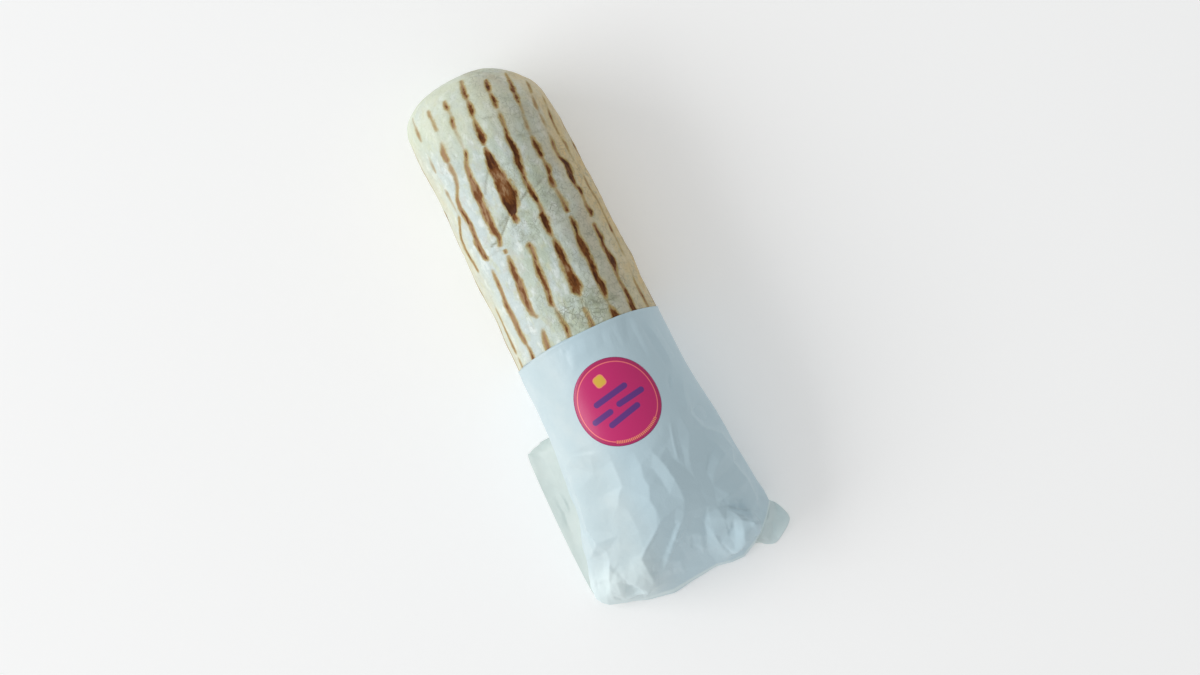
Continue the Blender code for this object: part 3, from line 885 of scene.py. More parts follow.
@dataclass(frozen=True)
class BreadFinish:
    """Grilled flatbread: pale, floury and mottled, with brown marks from the ridges of the grill.

    The edges are where parts of a mark start and are full, in millimetres inside the mark's outline.
    """

    pale: Colour = (0.730, 0.820, 0.745)
    deep: Colour = (0.600, 0.685, 0.560)
    # cool tint: random cool patches, and painted shade that cools and darkens the lit -Y side
    cool: Colour = (0.635, 0.722, 0.720)
    blush: Colour = (0.660, 0.650, 0.590)
    cream: Colour = (0.670, 0.700, 0.480)
    flour: Colour = (0.850, 0.920, 0.895)
    chalk: Colour = (0.755, 0.790, 0.610)
    warm: Colour = (0.590, 0.540, 0.410)
    gold: Colour = (0.740, 0.540, 0.245)
    filling: Colour = (0.385, 0.420, 0.285)
    crack: Colour = (0.330, 0.350, 0.260)
    # painted shade: dark colour laid along the bread's creases
    crease: Colour = (0.250, 0.245, 0.165)
    scorch: Colour = (0.460, 0.320, 0.095)
    straw: Colour = (0.560, 0.530, 0.330)
    tan: Colour = (0.390, 0.235, 0.120)
    brown: Colour = (0.195, 0.066, 0.012)
    dark: Colour = (0.080, 0.020, 0.003)
    clouds: Mottle = Mottle(62.0, 0.8, 4.0, 0.38, 0.62)
    cool_patches: Mottle = Mottle(110.0, 0.6, 3.0, 0.48, 0.66)
    blush_patches: Mottle = Mottle(190.0, 0.8, 3.0, 0.52, 0.68)
    cream_patches: Mottle = Mottle(255.0, 0.7, 4.0, 0.50, 0.68)
    flour_patches: Mottle = Mottle(300.0, 0.6, 4.0, 0.52, 0.68)
    blotches: Mottle = Mottle(85.0, 0.7, 3.0, 0.35, 0.65)
    wet_patches: Mottle = Mottle(240.0, 1.0, 6.0, 0.42, 0.60)
    specks: Mottle = Mottle(1300.0, 0.8, 2.0, 0.60, 0.70)
    coarse_fray: Mottle = Mottle(330.0, 0.40, 3.0)
    fine_fray: Mottle = Mottle(1100.0, 0.7, 2.0)
    streaks: Mottle = Mottle(620.0, 0.40, 5.0)
    spread: float = 1.06
    toasted_edge: Span = (-2.2, -0.2)
    scorched_edge: Span = (-1.10, -0.05)
    charred_edge: Span = (-0.28, 0.50)
    middle_edge: Span = (0.0, 0.8)
    heart_edge: Span = (1.2, 2.6)
    brown_tone: Span = (0.38, 0.82)
    dark_tone: Span = (0.82, 1.20)
    roughness: float = 0.60
    grain_depth: float = 0.00030

    def surface(self, sheet: NodeSheet, groups: SharedGroups, place: Socket) -> tuple[Socket, Socket]:
        """Colour of the bare bread.

        Args:
            sheet: The material's node sheet.
            groups: The shared node groups.
            place: Coordinates of the piece.

        Returns:
            The colour, and the mask of the fine cracks.
        """

        def patches(mottle: Mottle) -> Socket:
            """Mask of some of the patches."""
            return sheet.group(groups.mottle, mottle.inputs(place))

        damp, warm, gold, floury, left = (
            sheet.read(name) for name in ("filling", "warm", "gold", "floury", "left")
        )
        colour = sheet.over(self.pale, self.deep, patches(self.clouds))
        cooled = sheet.times(patches(self.cool_patches), 0.75)
        # painted shade: the cool tint also covers the lit -Y side and darkens it
        colour = sheet.over(colour, self.cool, sheet.math("MAXIMUM", cooled, left))
        for tint, mottle, share in (
            (self.blush, self.blush_patches, 0.45),
            (self.cream, self.cream_patches, 0.50),
            (self.flour, self.flour_patches, 0.75),
        ):
            colour = sheet.over(colour, tint, sheet.times(patches(mottle), share))
        blotched = sheet.plus(0.55, sheet.times(patches(self.blotches), 0.45))
        for tint, stain in ((self.chalk, floury), (self.warm, warm), (self.gold, gold)):
            colour = sheet.over(colour, tint, sheet.times(stain, blotched))
        wet = sheet.times(damp, patches(self.wet_patches))
        colour = sheet.over(colour, self.filling, sheet.times(wet, 0.60))
        cracks = sheet.group(groups.crackle, {"Place": place, "Per Metre": 330.0})
        fine = sheet.group(groups.crackle, {"Place": place, "Per Metre": 750.0, "Width": 0.12})
        open_share = sheet.plus(0.16, sheet.times(sheet.math("MAXIMUM", damp, warm), 0.42))
        lines = sheet.times(sheet.math("MAXIMUM", cracks, sheet.times(fine, 0.7)), open_share)
        colour = sheet.over(colour, self.crack, lines)
        speck = sheet.times(patches(self.specks), open_share)
        colour = sheet.over(colour, self.crack, sheet.times(speck, 0.9))
        # painted shade along the creases
        crease = sheet.times(sheet.read("crease"), 0.85)
        return sheet.over(colour, self.crease, crease), lines

    def build(self, groups: SharedGroups) -> bpy.types.Material:
        """Make the material.

        Args:
            groups: The shared node groups.

        Returns:
            The material.
        """
        made, sheet, shader = new_material("grilled_flatbread")
        place = sheet.place()
        colour, lines = self.surface(sheet, groups, place)
        coarse, fine, streaks = (
            sheet.swing(sheet.group(groups.mottle, mottle.inputs(place)))
            for mottle in (self.coarse_fray, self.fine_fray, self.streaks)
        )
        away, width, tone = (sheet.read(name) for name in ("grill_away", "grill_width", "grill_tone"))
        width = sheet.times(width, self.spread)
        sway = sheet.scaled(sheet.ease(width, 0.0, 2.2), 0.62, 0.22)
        ragged = sheet.plus(sheet.times(coarse, sway), sheet.times(fine, 0.20))
        inside = sheet.plus(sheet.minus(width, away), ragged)
        marked = sheet.ease(width, 0.04, 0.30)
        shown = sheet.ease(tone, -0.10, 0.55)
        toasted, scorched, charred = (
            sheet.times(sheet.ease(inside, *edge), marked)
            for edge in (self.toasted_edge, self.scorched_edge, self.charred_edge)
        )
        colour = sheet.over(colour, self.straw, sheet.times(sheet.times(toasted, 0.36), shown))
        colour = sheet.over(colour, self.scorch, sheet.times(scorched, sheet.times(shown, 0.85)))
        middle = sheet.times(sheet.times(sheet.ease(inside, *self.middle_edge), tone), 0.32)
        middle = sheet.minus(middle, 0.17)
        middle = sheet.minus(middle, sheet.times(sheet.ease(inside, *self.heart_edge), 0.12))
        burn = sheet.plus(sheet.plus(tone, middle), sheet.times(streaks, 0.34))
        char = sheet.over(self.tan, self.brown, sheet.ease(burn, *self.brown_tone))
        char = sheet.over(char, self.dark, sheet.ease(burn, *self.dark_tone))
        colour = sheet.over(colour, char, sheet.times(charred, shown))
        sheet.feed(shader.inputs["Base Color"], colour)

        rough = sheet.plus(sheet.times(charred, -0.10), self.roughness)
        sheet.feed(shader.inputs["Roughness"], rough)
        shader.inputs["Specular IOR Level"].default_value = 0.20
        grain = {"Place": place, "Fine Per Metre": 1500.0, "Coarse Per Metre": 480.0}
        sunk = sheet.plus(sheet.times(charred, 0.35), lines)
        sheet.bump(shader, sheet.minus(sheet.group(groups.grain, grain), sunk), self.grain_depth)
        return made


@dataclass(frozen=True)
class PaperFinish:
    """Thin cool-white greaseproof paper with a faint sheen and fine wrinkles."""

    name: str = "greaseproof_paper"
    base: Colour = (0.58, 0.705, 0.742)
    cloudy: Colour = (0.63, 0.740, 0.765)
    # painted light: a paler paper colour for the bag's lower -Y corner, its folded edge and the tail's ear
    single: Colour = (0.78, 0.90, 0.91)
    # painted shade: bluer paper on the +Y side, away from the light
    painted_shade_blue: Colour = (0.555, 0.718, 0.795)
    roughness: float = 0.42
    wrinkle_depth: float = 0.00010

    def build(self, groups: SharedGroups) -> bpy.types.Material:
        """Make the material.

        Args:
            groups: The shared node groups.

        Returns:
            The material.
        """
        made, sheet, shader = new_material(self.name)
        place = sheet.place()
        clouds = sheet.group(groups.mottle, {"Place": place, "Per Metre": 70.0, "Low": 0.35, "High": 0.68})
        colour = sheet.over(self.base, self.cloudy, clouds)
        # painted shade: bluer towards the +Y side
        colour = sheet.over(colour, self.painted_shade_blue, sheet.read("painted_shade_blue"))
        # painted light: paler paper where the share is set
        colour = sheet.over(colour, self.single, sheet.read("painted_light_share"))
        sheet.feed(shader.inputs["Base Color"], colour)
        fibres = sheet.group(groups.mottle, {"Place": place, "Per Metre": 900.0, "Low": 0.3, "High": 0.7})
        sheet.feed(shader.inputs["Roughness"], sheet.scaled(fibres, 0.10, self.roughness - 0.05))
        shader.inputs["Specular IOR Level"].default_value = 0.45
        grain = {"Place": place, "Fine Per Metre": 1400.0, "Coarse Per Metre": 260.0, "Wrinkles": 0.35}
        sheet.bump(shader, sheet.group(groups.grain, grain), self.wrinkle_depth, 0.8)
        return made


@dataclass(frozen=True)
class PrintedBar:
    """A violet bar on the label: where it starts and ends from the label's centre, in millimetres."""

    start: tuple[float, float]
    end: tuple[float, float]
    half_height: float = 1.25

    def inputs(self, u: Socket, v: Socket) -> dict:
        """Inputs of the bar's node group.

        Args:
            u: First coordinate on the label, in millimetres.
            v: Second coordinate on the label.

        Returns:
            Values and sockets by name.
        """
        du, dv = self.end[0] - self.start[0], self.end[1] - self.start[1]
        length = math.hypot(du, dv)
        return {
            "U": u,
            "V": v,
            "Centre U": (self.start[0] + self.end[0]) / 2.0,
            "Centre V": (self.start[1] + self.end[1]) / 2.0,
            "Cosine": du / length,
            "Sine": dv / length,
            "Half Length": length / 2.0,
            "Half Height": self.half_height,
        }


@dataclass(frozen=True)
class LabelFinish:
    """Glossy magenta label with a thin ring, a row of strokes, a rounded badge and plain violet bars."""

    magenta: Colour = (0.62, 0.001, 0.150)
    border: Colour = (0.50, 0.001, 0.115)
    salmon: Colour = (0.98, 0.19, 0.20)
    orange: Colour = (0.98, 0.31, 0.15)
    yellow: Colour = (0.80, 0.50, 0.05)
    violet: Colour = (0.120, 0.014, 0.23)
    paper_edge: Colour = (0.52, 0.06, 0.23)
    ring_radius: float = 16.65
    ring_half: float = 0.22
    ring_soft: float = 0.07
    gap_start: float = math.radians(-27.0)
    gap_end: float = math.radians(41.5)
    strokes: int = 27
    stroke_height: float = 0.62
    stroke_soft: float = 0.1
    rosette_at: tuple[float, float] = (-10.5, -2.7)
    rosette_radius: float = 2.85
    rosette_petals: int = 4
    rosette_turn: float = math.radians(31.0)
    rim_start: float = 18.1
    rim_end: float = 18.4
    bars: tuple[PrintedBar, ...] = (
        PrintedBar((-4.9, 7.0), (-1.9, -9.4)),
        PrintedBar((-0.4, 12.6), (1.5, -0.7)),
        PrintedBar((2.5, -3.0), (4.4, -13.2)),
        PrintedBar((4.6, 8.0), (8.2, -7.2)),
    )
    roughness: float = 0.33
    grain_depth: float = 0.00003

    def build(self, groups: SharedGroups) -> bpy.types.Material:
        """Make the material.

        Args:
            groups: The shared node groups.

        Returns:
            The material.
        """
        made, sheet, shader = new_material("gloss_label")
        u, v = sheet.read("label_u"), sheet.read("label_v")
        radius = sheet.length(u, v)
        angle = sheet.math("ARCTAN2", v, u)
        past_start = sheet.math("GREATER_THAN", angle, self.gap_start)
        in_gap = sheet.times(past_start, sheet.math("LESS_THAN", angle, self.gap_end))

        ring_away = sheet.math("ABSOLUTE", sheet.minus(radius, self.ring_radius))
        ring = sheet.times(sheet.band(ring_away, self.ring_half, self.ring_soft), sheet.minus(1.0, in_gap))

        pace = 2.0 * math.pi * self.strokes / (self.gap_end - self.gap_start)
        beat = sheet.math("COSINE", sheet.times(angle, pace))
        strokes = sheet.band(ring_away, self.stroke_height, self.stroke_soft)
        strokes = sheet.times(sheet.times(strokes, sheet.ease(beat, -0.7, 0.1)), in_gap)

        ru = sheet.minus(u, self.rosette_at[0])
        rv = sheet.minus(v, self.rosette_at[1])
        turned = sheet.plus(sheet.math("ARCTAN2", rv, ru), self.rosette_turn)
        petal = sheet.math("COSINE", sheet.times(turned, self.rosette_petals))
        reach = sheet.scaled(petal, 0.07 * self.rosette_radius, 0.95 * self.rosette_radius)
        inside = sheet.minus(reach, sheet.length(ru, rv))
        rosette = sheet.ease(inside, -PRINT_EDGE, PRINT_EDGE)
        core = sheet.ease(inside, 0.30, 0.55)

        outside = sheet.ease(radius, self.ring_radius, self.ring_radius + 0.4)
        colour = sheet.over(self.magenta, self.border, outside)
        colour = sheet.over(colour, self.salmon, ring)
        colour = sheet.over(colour, self.orange, strokes)
        colour = sheet.over(colour, self.orange, rosette)
        colour = sheet.over(colour, self.yellow, core)
        for bar in self.bars:
            colour = sheet.over(colour, self.violet, sheet.group(groups.bar, bar.inputs(u, v)))
        colour = sheet.over(colour, self.paper_edge, sheet.ease(radius, self.rim_start, self.rim_end))
        sheet.feed(shader.inputs["Base Color"], colour)
        shader.inputs["Roughness"].default_value = self.roughness
        shader.inputs["Specular IOR Level"].default_value = 0.75
        grain = {"Place": sheet.place(), "Fine Per Metre": 900.0, "Coarse Per Metre": 150.0}
        sheet.bump(shader, sheet.group(groups.grain, grain), self.grain_depth)
        return made


# --- bread ---


@dataclass(frozen=True)
class GrillRow:
    """One row of grill marks along the roll, in millimetres.

    Each knot is x, y in plan of the row's centre line on the upper half, the mark's half width there and
    its tone, from 0, faint tan, to 1, dark brown. A row that the side or the underside carries stays at
    one angle in degrees instead, and its y isn't read. Plan values are as the photo shows them, where
    the top of the roll is a little nearer; widen scales every half width.
    """

    knots: tuple[tuple[float, float, float, float], ...]
    degrees: float | None = None
    widen: float = 1.0
    nearer: float = 0.982

    def centre(self, x: Array, form: RollForm) -> Array:
        """Angle of the row's centre line.

        Args:
            x: Places along X, in metres.
            form: Plain form of the roll.

        Returns:
            The angle at each place.
        """
        if self.degrees is not None:
            return np.full(x.shape, math.radians(self.degrees))
        xs = np.array([knot[0] for knot in self.knots]) * MM
        angles = np.array([form.angle_at(knot[0] * MM, knot[1] * MM * self.nearer) for knot in self.knots])
        return np.interp(x, xs, angles)

    def strength(self, x: Array) -> tuple[Array, Array]:
        """Half width in millimetres and tone of the row at x, in metres."""
        xs, _, halves, tones = (np.array(column) for column in zip(*self.knots))
        return np.interp(x, xs * MM, halves * self.widen, left=0.0), np.interp(x, xs * MM, tones)


VISIBLE_ROWS: tuple[GrillRow, ...] = (
    GrillRow((
        (-94.5, 26.2, 0, .2), (-92, 26.3, .35, .35), (-90, 26.3, .3, .3), (-89, 26.2, .1, .1),
        (-87, 26.1, .3, .4), (-84, 25.9, .6, .7), (-81.5, 25.7, .4, .5), (-79, 25.8, .35, .4),
        (-76.5, 25.8, .4, .5), (-75, 25.9, .1, .1), (-73.7, 26.1, .2, .4), (-72, 26.5, .6, .65),
        (-70, 26.4, .5, .6), (-67.5, 26.2, .15, .3), (-57, 27.2, .1, .1), (-55, 27.3, .3, .35),
        (-52, 27.4, .4, .5), (-49, 27.7, .3, .4), (-44, 28.2, .3, .4), (-38, 28.4, .3, .4),
        (-35, 28.5, .3, .5), (-33, 28.7, .55, .8), (-31, 28.7, .5, .75), (-29.8, 28.6, .15, .3),
        (-22, 28.4, .25, .3), (-18, 28.3, .1, .1), (-10.5, 28.2, .1, .2), (-8, 28.1, .35, .6),
        (-3, 28, .4, .6), (6, 28.2, .3, .5),
    ), widen=1.6),
    GrillRow((
        (-102.5, 22.6, 0, .3), (-101, 22.6, .4, .5), (-98.5, 22.6, .6, .7), (-96.5, 22.5, .4, .5),
        (-95.5, 22.2, .1, .1), (-93, 21.9, .35, .3), (-90, 21.9, .45, .45), (-88, 21.8, .1, .1),
        (-85, 22, .35, .3), (-83, 22, .4, .3), (-80, 22, .1, .1), (-76, 22, .2, .3), (-74, 22.1, .45, .55),
        (-71.5, 21.8, .4, .5), (-70, 21.8, .3, .4), (-68, 21.8, .4, .6), (-66.5, 22.3, .7, .9),
        (-64.5, 23.1, .95, 1), (-61, 23.3, 1.1, 1), (-58, 22.9, 1, 1), (-55.5, 22.5, .7, .8),
        (-54, 22.4, .5, .7), (-52, 23.1, .8, .9), (-50.5, 23.2, .8, .95), (-49, 23, .35, .5),
        (-46.5, 22.9, .25, .4), (-44, 23.1, .5, .6), (-41.5, 23.6, .7, .95), (-40, 23.4, .4, .8),
        (-39.3, 23.2, 0, .2), (-37.2, 23, .1, .3), (-36, 23, .5, .7), (-33, 22.9, .7, .9),
        (-30, 23.4, .9, .95), (-27.5, 22.6, .7, .8), (-25, 22.7, .9, .8), (-20.5, 23, 1.2, .9),
        (-17.5, 22.6, .8, .85), (-14, 22.1, .45, .6), (-11.5, 21.9, .3, .5), (-9, 22.3, .35, .5),
        (-6, 22.7, .6, .8), (-3, 22.6, .6, .8), (0, 22.4, .9, .9), (6, 22.4, 1.1, .9),
    ), widen=1.45),
    GrillRow((
        (-109.5, 16.5, 0, .3), (-108, 16.4, .5, .6), (-105, 16.4, .5, .7), (-102.5, 16.5, .9, .9),
        (-100, 16.3, 1.1, .85), (-98.5, 16, .5, .6), (-97, 15.9, .8, .7), (-95, 15.8, .8, .7),
        (-93.5, 15.7, .2, .4), (-89, 15.3, .3, .2), (-84, 14.9, .6, .35), (-82, 14.9, .2, .2),
        (-80.2, 15, .15, .4), (-78.5, 15, .6, .6), (-76, 15.2, 1.3, 1), (-74, 15.3, 1.3, 1),
        (-71, 15.3, 1.1, 1), (-69.5, 15.2, .3, .4), (-68, 15.3, .4, .6), (-66, 15.6, .9, .75),
        (-64, 15.4, .95, .8), (-62.5, 14.9, .5, .6), (-61, 14.4, .7, .75), (-59, 14.3, .95, .8),
        (-57.5, 14.3, .7, .6), (-56.5, 14.5, .2, .3), (-52, 14.6, .5, .45), (-49, 14.8, .85, .75),
        (-46, 14.7, .7, .7), (-44.6, 14.8, .05, .1), (-42, 15, .4, .8), (-40, 15.3, 1.2, 1),
        (-37, 15.1, 1.1, 1), (-35, 14.7, .9, .85), (-32, 14.6, 1.25, .85), (-29, 14.7, 1.4, .8),
        (-25, 14.5, 1.2, .75), (-21, 14.4, 1.15, .9), (-18, 14, 1, .95), (-15.5, 14.1, 1, .95),
        (-13, 14.7, 1.3, .9), (-11, 14.5, 1.1, .8), (-8, 14.1, .7, .7), (-6.5, 13.9, .2, .3),
        (-3.6, 13.8, .2, .4), (-1.5, 13.8, 1.1, .8), (1, 13.8, 1.6, .85), (6, 13.8, 1.6, .85),
    )),
    GrillRow((
        (-110, 7.8, 0, .5), (-108.5, 7.7, .7, .8), (-106.5, 7.5, 1, .9), (-104.8, 7.2, .6, .7),
        (-103.5, 7, .2, .2), (-102, 7, .6, .7), (-99.5, 7, .9, .9), (-97, 6.9, .7, .9),
        (-95.8, 6.8, .15, .2), (-93.6, 6.8, .25, .3), (-92.5, 6.6, .55, .6), (-88, 6.4, .35, .5),
        (-85.5, 6.1, .5, .75), (-83.5, 5.5, .8, .95), (-80, 5.8, 1.1, 1), (-77.5, 6.2, 1.25, .95),
        (-75, 5.6, 1.2, .95), (-72.5, 5.1, 1.35, 1), (-70, 5.1, 1.15, .95), (-68, 5.1, .8, .75),
        (-64, 4.5, .7, .45), (-61.8, 4.9, .9, .75), (-60, 5, .95, .9), (-56, 5.2, .9, 1.05),
        (-54, 5.4, .45, .6), (-50.2, 5.3, .55, .5), (-49, 4.6, 1.1, .95), (-45, 4.5, 1.5, 1.1),
        (-41.5, 4.5, 1, 1), (-40, 4.7, .4, .5), (-38.3, 4.9, .2, .3), (-36.5, 4.9, .7, .75),
        (-33, 4.7, 1.05, .95), (-28, 4.6, 1.4, .8), (-24, 4.5, 1.45, .6), (-19, 4.4, 1.45, .9),
        (-15, 4.3, 1.8, .75), (-12.8, 4.5, .7, .6), (-12, 4.4, .15, .3), (-8, 3.8, .15, .1),
        (-6.5, 3.7, .4, .4), (1.5, 3.7, .6, .5), (6, 3.7, .6, .5),
    )),
    GrillRow((
        (-114, -1.6, 0, .3), (-113, -1.8, .4, .4), (-111, -2.4, .45, .5), (-108.5, -2.8, .8, .8),
        (-106, -2.8, .6, .7), (-105, -2.9, .2, .3), (-103.2, -2.9, .35, .4), (-101.8, -3, .8, .8),
        (-100, -3.3, 1.05, .95), (-98.3, -3.5, .8, .8), (-96.5, -3.8, .2, .4), (-94, -4, .6, .8),
        (-90, -4, .95, .95), (-88, -3.9, 1.5, .95), (-86.3, -4, .9, .8), (-84.5, -4.5, .1, .4),
        (-83, -4.8, .35, .6), (-80.5, -4.9, 1.2, .95), (-77, -5, 1.8, 1), (-74, -5, 2.1, .8),
        (-70, -4.6, 2.6, .65), (-66, -4.4, 3.2, .75), (-62, -4.6, 3.5, .85), (-59, -5, 3.2, 1.05),
        (-56.5, -5.3, 2.6, 1.2), (-54.8, -6, 1.7, 1.2), (-53.6, -6.2, .8, .9), (-51, -6.1, .8, .55),
        (-49.3, -6, .1, .1), (-41.5, -5.6, .1, .1), (-40, -5.6, .8, .7), (-38, -5.4, .8, .6),
        (-35, -5.6, .7, .6), (-32, -6.6, .75, .7), (-28, -7, 1.0, .75), (-24, -6.8, .95, .7),
        (-20, -6.8, .6, .75), (-16, -7.3, .65, .8), (-14, -7.8, .6, .6), (-12.5, -7, .25, .2),
        (-8, -6.8, .3, .3), (-4, -6.6, .5, .6), (-2, -6.7, .55, .65), (1.5, -7.1, .45, .5),
        (6, -7.1, .4, .4),
    )),
    GrillRow((
        (-109.3, -11.7, 0, .3), (-108, -11.9, .4, .4), (-105.5, -11.9, .8, .65), (-104, -11.9, .3, .3),
        (-101.5, -11.9, .3, .2), (-100, -12.3, .7, .7), (-97.5, -12.9, .7, .5), (-95.5, -12.9, .3, .2),
        (-87, -12.9, .3, .15), (-85, -12.9, .6, .7), (-82, -14.2, .9, .6), (-80, -14.9, 1, .5),
        (-75, -15.5, 1.1, .5), (-71, -15.6, 1.5, .6), (-67, -16, 1.9, .7), (-65.5, -16.2, 1.7, .6),
        (-63, -15.9, 1.6, .5), (-59, -16.3, 1.8, .55), (-55, -16.5, 1.8, .55), (-51, -16.5, 1.5, .6),
        (-48, -16, .9, .6), (-45, -16.8, .7, .6), (-44, -16.6, .1, .1), (-43, -16, .1, .1),
        (-42.2, -16, .6, .6), (-41.2, -16, .5, .5), (-40.5, -16, .1, .1), (-39.8, -15.8, .3, .3),
        (-37, -16.1, .9, .7), (-33, -16.3, 1.4, .7), (-28, -16.1, 1.6, .55), (-22, -16.3, 1.5, .6),
        (-17, -16.5, 1.2, .5), (-14, -16.5, 1, .35), (-12, -15.5, .6, .35), (-11, -15.5, .1, .1),
        (-7.5, -15.7, .1, .1), (-5, -16, .5, .4), (-2, -16.6, .9, .55), (2, -17, 1.2, .5),
        (6, -17, 1.2, .5),
    ), widen=0.85),
    GrillRow((
        (-109, -19.6, 0, .2), (-107, -19.8, .4, .35), (-103, -19.8, .4, .35), (-99, -19.9, .4, .35),
        (-98, -20, .1, .1), (-94, -20.2, .1, .1), (-92, -20.6, .5, .3), (-89, -21.3, 1, .5),
        (-85.5, -21.3, .8, .45), (-84.6, -21, .3, .2), (-82, -21.1, .8, .35), (-79, -21, .6, .3),
        (-75, -22, .5, .35), (-72, -23.4, .6, .5), (-69, -24.8, .8, .5), (-66, -25.3, 1, .5),
        (-62, -24.9, 1, .6), (-58, -24.4, .8, .65), (-54, -24.5, .8, .65), (-50, -24.9, 1.2, .6),
        (-46, -25, 1.1, .55), (-43, -24.7, .9, .7), (-42, -24.3, .6, .6), (-41.3, -24, .1, .1),
        (-38, -24.2, .15, .1), (-36, -24.2, .4, .4), (-33, -24.5, .6, .55), (-28, -24.4, .6, .45),
        (-22, -24.9, 1, .5), (-14, -24.8, .9, .45), (-8, -24.8, .8, .5), (-5, -24.7, .7, .6),
        (-3.4, -24.5, .3, .3), (-1, -24.2, .4, .5), (2, -24.4, .6, .6), (6, -25, .5, .5),
    ), widen=1.12),
    GrillRow((
        (-109, -26.8, 0, .1), (-108, -27, .3, .1), (-104, -27.4, .35, .2), (-101, -27.6, .5, .35),
        (-98, -27.6, .35, .2), (-97, -27.6, .05, .1), (-91, -27.7, .1, .1), (-87, -27.8, .5, .2),
        (-84, -28, .4, .25), (-83, -28, .1, .1), (-76, -27.8, .1, .1), (-74, -27.8, .5, .25),
        (-71, -27.7, .3, .2), (-64, -27.2, .1, .2), (-62, -27.6, .4, .6), (-59, -28.6, .45, .7),
        (-57, -29.5, .4, .6), (-54, -30.1, .45, .6), (-50, -30.5, .45, .6), (-45, -30, .4, .6),
        (-40, -29.7, .3, .5), (-38.5, -29.6, .05, .1), (-24, -29.8, .1, .1), (-20, -30, .3, .4),
        (-12, -30.1, .4, .5), (-6, -30.2, .5, .6), (-3, -30.2, .4, .5), (-1.5, -30.2, .05, .1),
        (2, -30.2, .4, .4), (6, -30.2, .4, .4),
    ), widen=1.3),
    GrillRow((
        (-99, 0, 0, .2), (-95, 0, .5, .3), (-90, 0, .2, .2), (-82, 0, .4, .4), (-75, 0, .1, .2),
        (-68.5, 0, .1, .2), (-66, 0, .8, .8), (-62.5, 0, .7, .8), (-61, 0, .1, .2), (-52, 0, .4, .4),
        (-44, 0, .2, .3), (-30, 0, .4, .4), (-22, 0, .1, .2), (-10, 0, .4, .5), (6, 0, .4, .4),
    ), degrees=-84.0),
)


@dataclass(frozen=True)
class HiddenRows:
    """Rule for the grill rows that the side and the underside carry."""

    degrees: tuple[float, ...] = (84.0, 103.0, 122.0, 141.0, 160.0, 179.0, -162.0, -143.0, -124.0, -104.0)
    start: float = -106.0
    end: float = 6.0
    start_spread: float = 7.0
    shortest_step: float = 1.6
    longest_step: float = 6.0
    widest_half: float = 1.35
    faintest: float = 0.22
    seed: int = 23

    def rows(self) -> tuple[GrillRow, ...]:
        """Make the rows.

        Returns:
            The rows, each a seeded run of wide and thin places.
        """
        rng = np.random.default_rng(self.seed)
        made = []
        for degrees in self.degrees:
            x = self.start + rng.uniform(0.0, self.start_spread)
            knots = [(x, 0.0, 0.0, 0.2)]
            while x < self.end:
                x += rng.uniform(self.shortest_step, self.longest_step)
                half = self.widest_half * rng.random() ** 1.7
                tone = self.faintest + 0.62 * rng.random() * min(1.0, half + 0.35)
                knots.append((x, 0.0, half, tone))
            made.append(GrillRow(tuple(knots), degrees=degrees))
        return tuple(made)


# creases in the bread; the last number of each is how much painted shade darkens it
BREAD_CREASES: tuple[Crease, ...] = (
    Crease(
        ((-60, 3.5), (-57.5, -2), (-54, -8), (-50, -12.5), (-47, -16), (-46.2, -20)), -0.55, 1.1, 3.0, 1.0
    ),
    Crease(((-55.5, -7), (-53.5, -9.8), (-52.2, -13)), -0.30, 1.0, 1.4, 0.6),
    Crease(((-43.4, -17), (-43, -20.5), (-42.6, -24)), -0.30, 1.2, 1.2, 0.3),
    Crease(((-5.4, 19), (-5.6, 14), (-6.4, 10), (-8.4, 8)), -0.30, 1.1, 1.6, 0.6),
    Crease(((-10.4, 22), (-10.9, 16), (-10.4, 11)), -0.22, 1.1, 1.4, 0.35),
    Crease(((-95, -0.5), (-93.6, 3.4), (-92.8, 6.6)), -0.22, 1.4, 1.4, 0.35),
    Crease(((-82.6, 9), (-81, 14.5), (-80.2, 21)), -0.26, 1.4, 2.2, 0.35),
    Crease(((-62.5, 12), (-60.6, 8), (-59.2, 4)), -0.24, 1.2, 1.2, 0.45),
    Crease(((-57.0, 14.2), (-55.9, 11), (-55.0, 7.4)), -0.22, 1.2, 1.2, 0.35),
    Crease(((-74.5, -7.6), (-70.5, -10.6), (-66.5, -12.8)), -0.28, 1.3, 1.6, 0.55),
    Crease(((-88, -18), (-82, -16.6), (-77, -18.2)), -0.16, 1.6, 1.6, 0.12),
    Crease(((-43.6, 13), (-42.8, 10.4), (-43.4, 7.2)), -0.20, 1.1, 1.1, 0.3),
    Crease(((-34.5, 21.5), (-33.4, 19), (-34.6, 17)), -0.18, 1.1, 1.1, 0.3),
)


@dataclass(frozen=True)
class DampPatch:
    """An oval patch of the top where the filling dampens the bread.

    Its centre and its reach along X and Y are in millimetres, and amount is how strong it is.
    """

    x: float
    y: float
    reach_x: float
    reach_y: float
    amount: float

    def share(self, x: Array, y: Array) -> Array:
        """Strength of the patch at plan points, in metres."""
        spread = ((x / MM - self.x) / self.reach_x) ** 2 + ((y / MM - self.y) / self.reach_y) ** 2
        return self.amount * (1.0 - smooth(0.3, 1.3, spread))


DAMP_PATCHES: tuple[DampPatch, ...] = (
    DampPatch(-6, 4, 9, 16, 1.0),
    DampPatch(-25, 18, 12, 5, 0.45),
    DampPatch(-47, -3, 8, 7, 0.7),
    DampPatch(-56, 11, 16, 5, 0.75),
    DampPatch(-30, 10, 9, 3, 0.55),
    DampPatch(-90, 14, 14, 8, 0.35),
    DampPatch(-14, -10, 6, 4, 0.35),
    DampPatch(-66, 1, 12, 5, 0.50),
    DampPatch(-50, -11, 8, 5, 0.45),
)


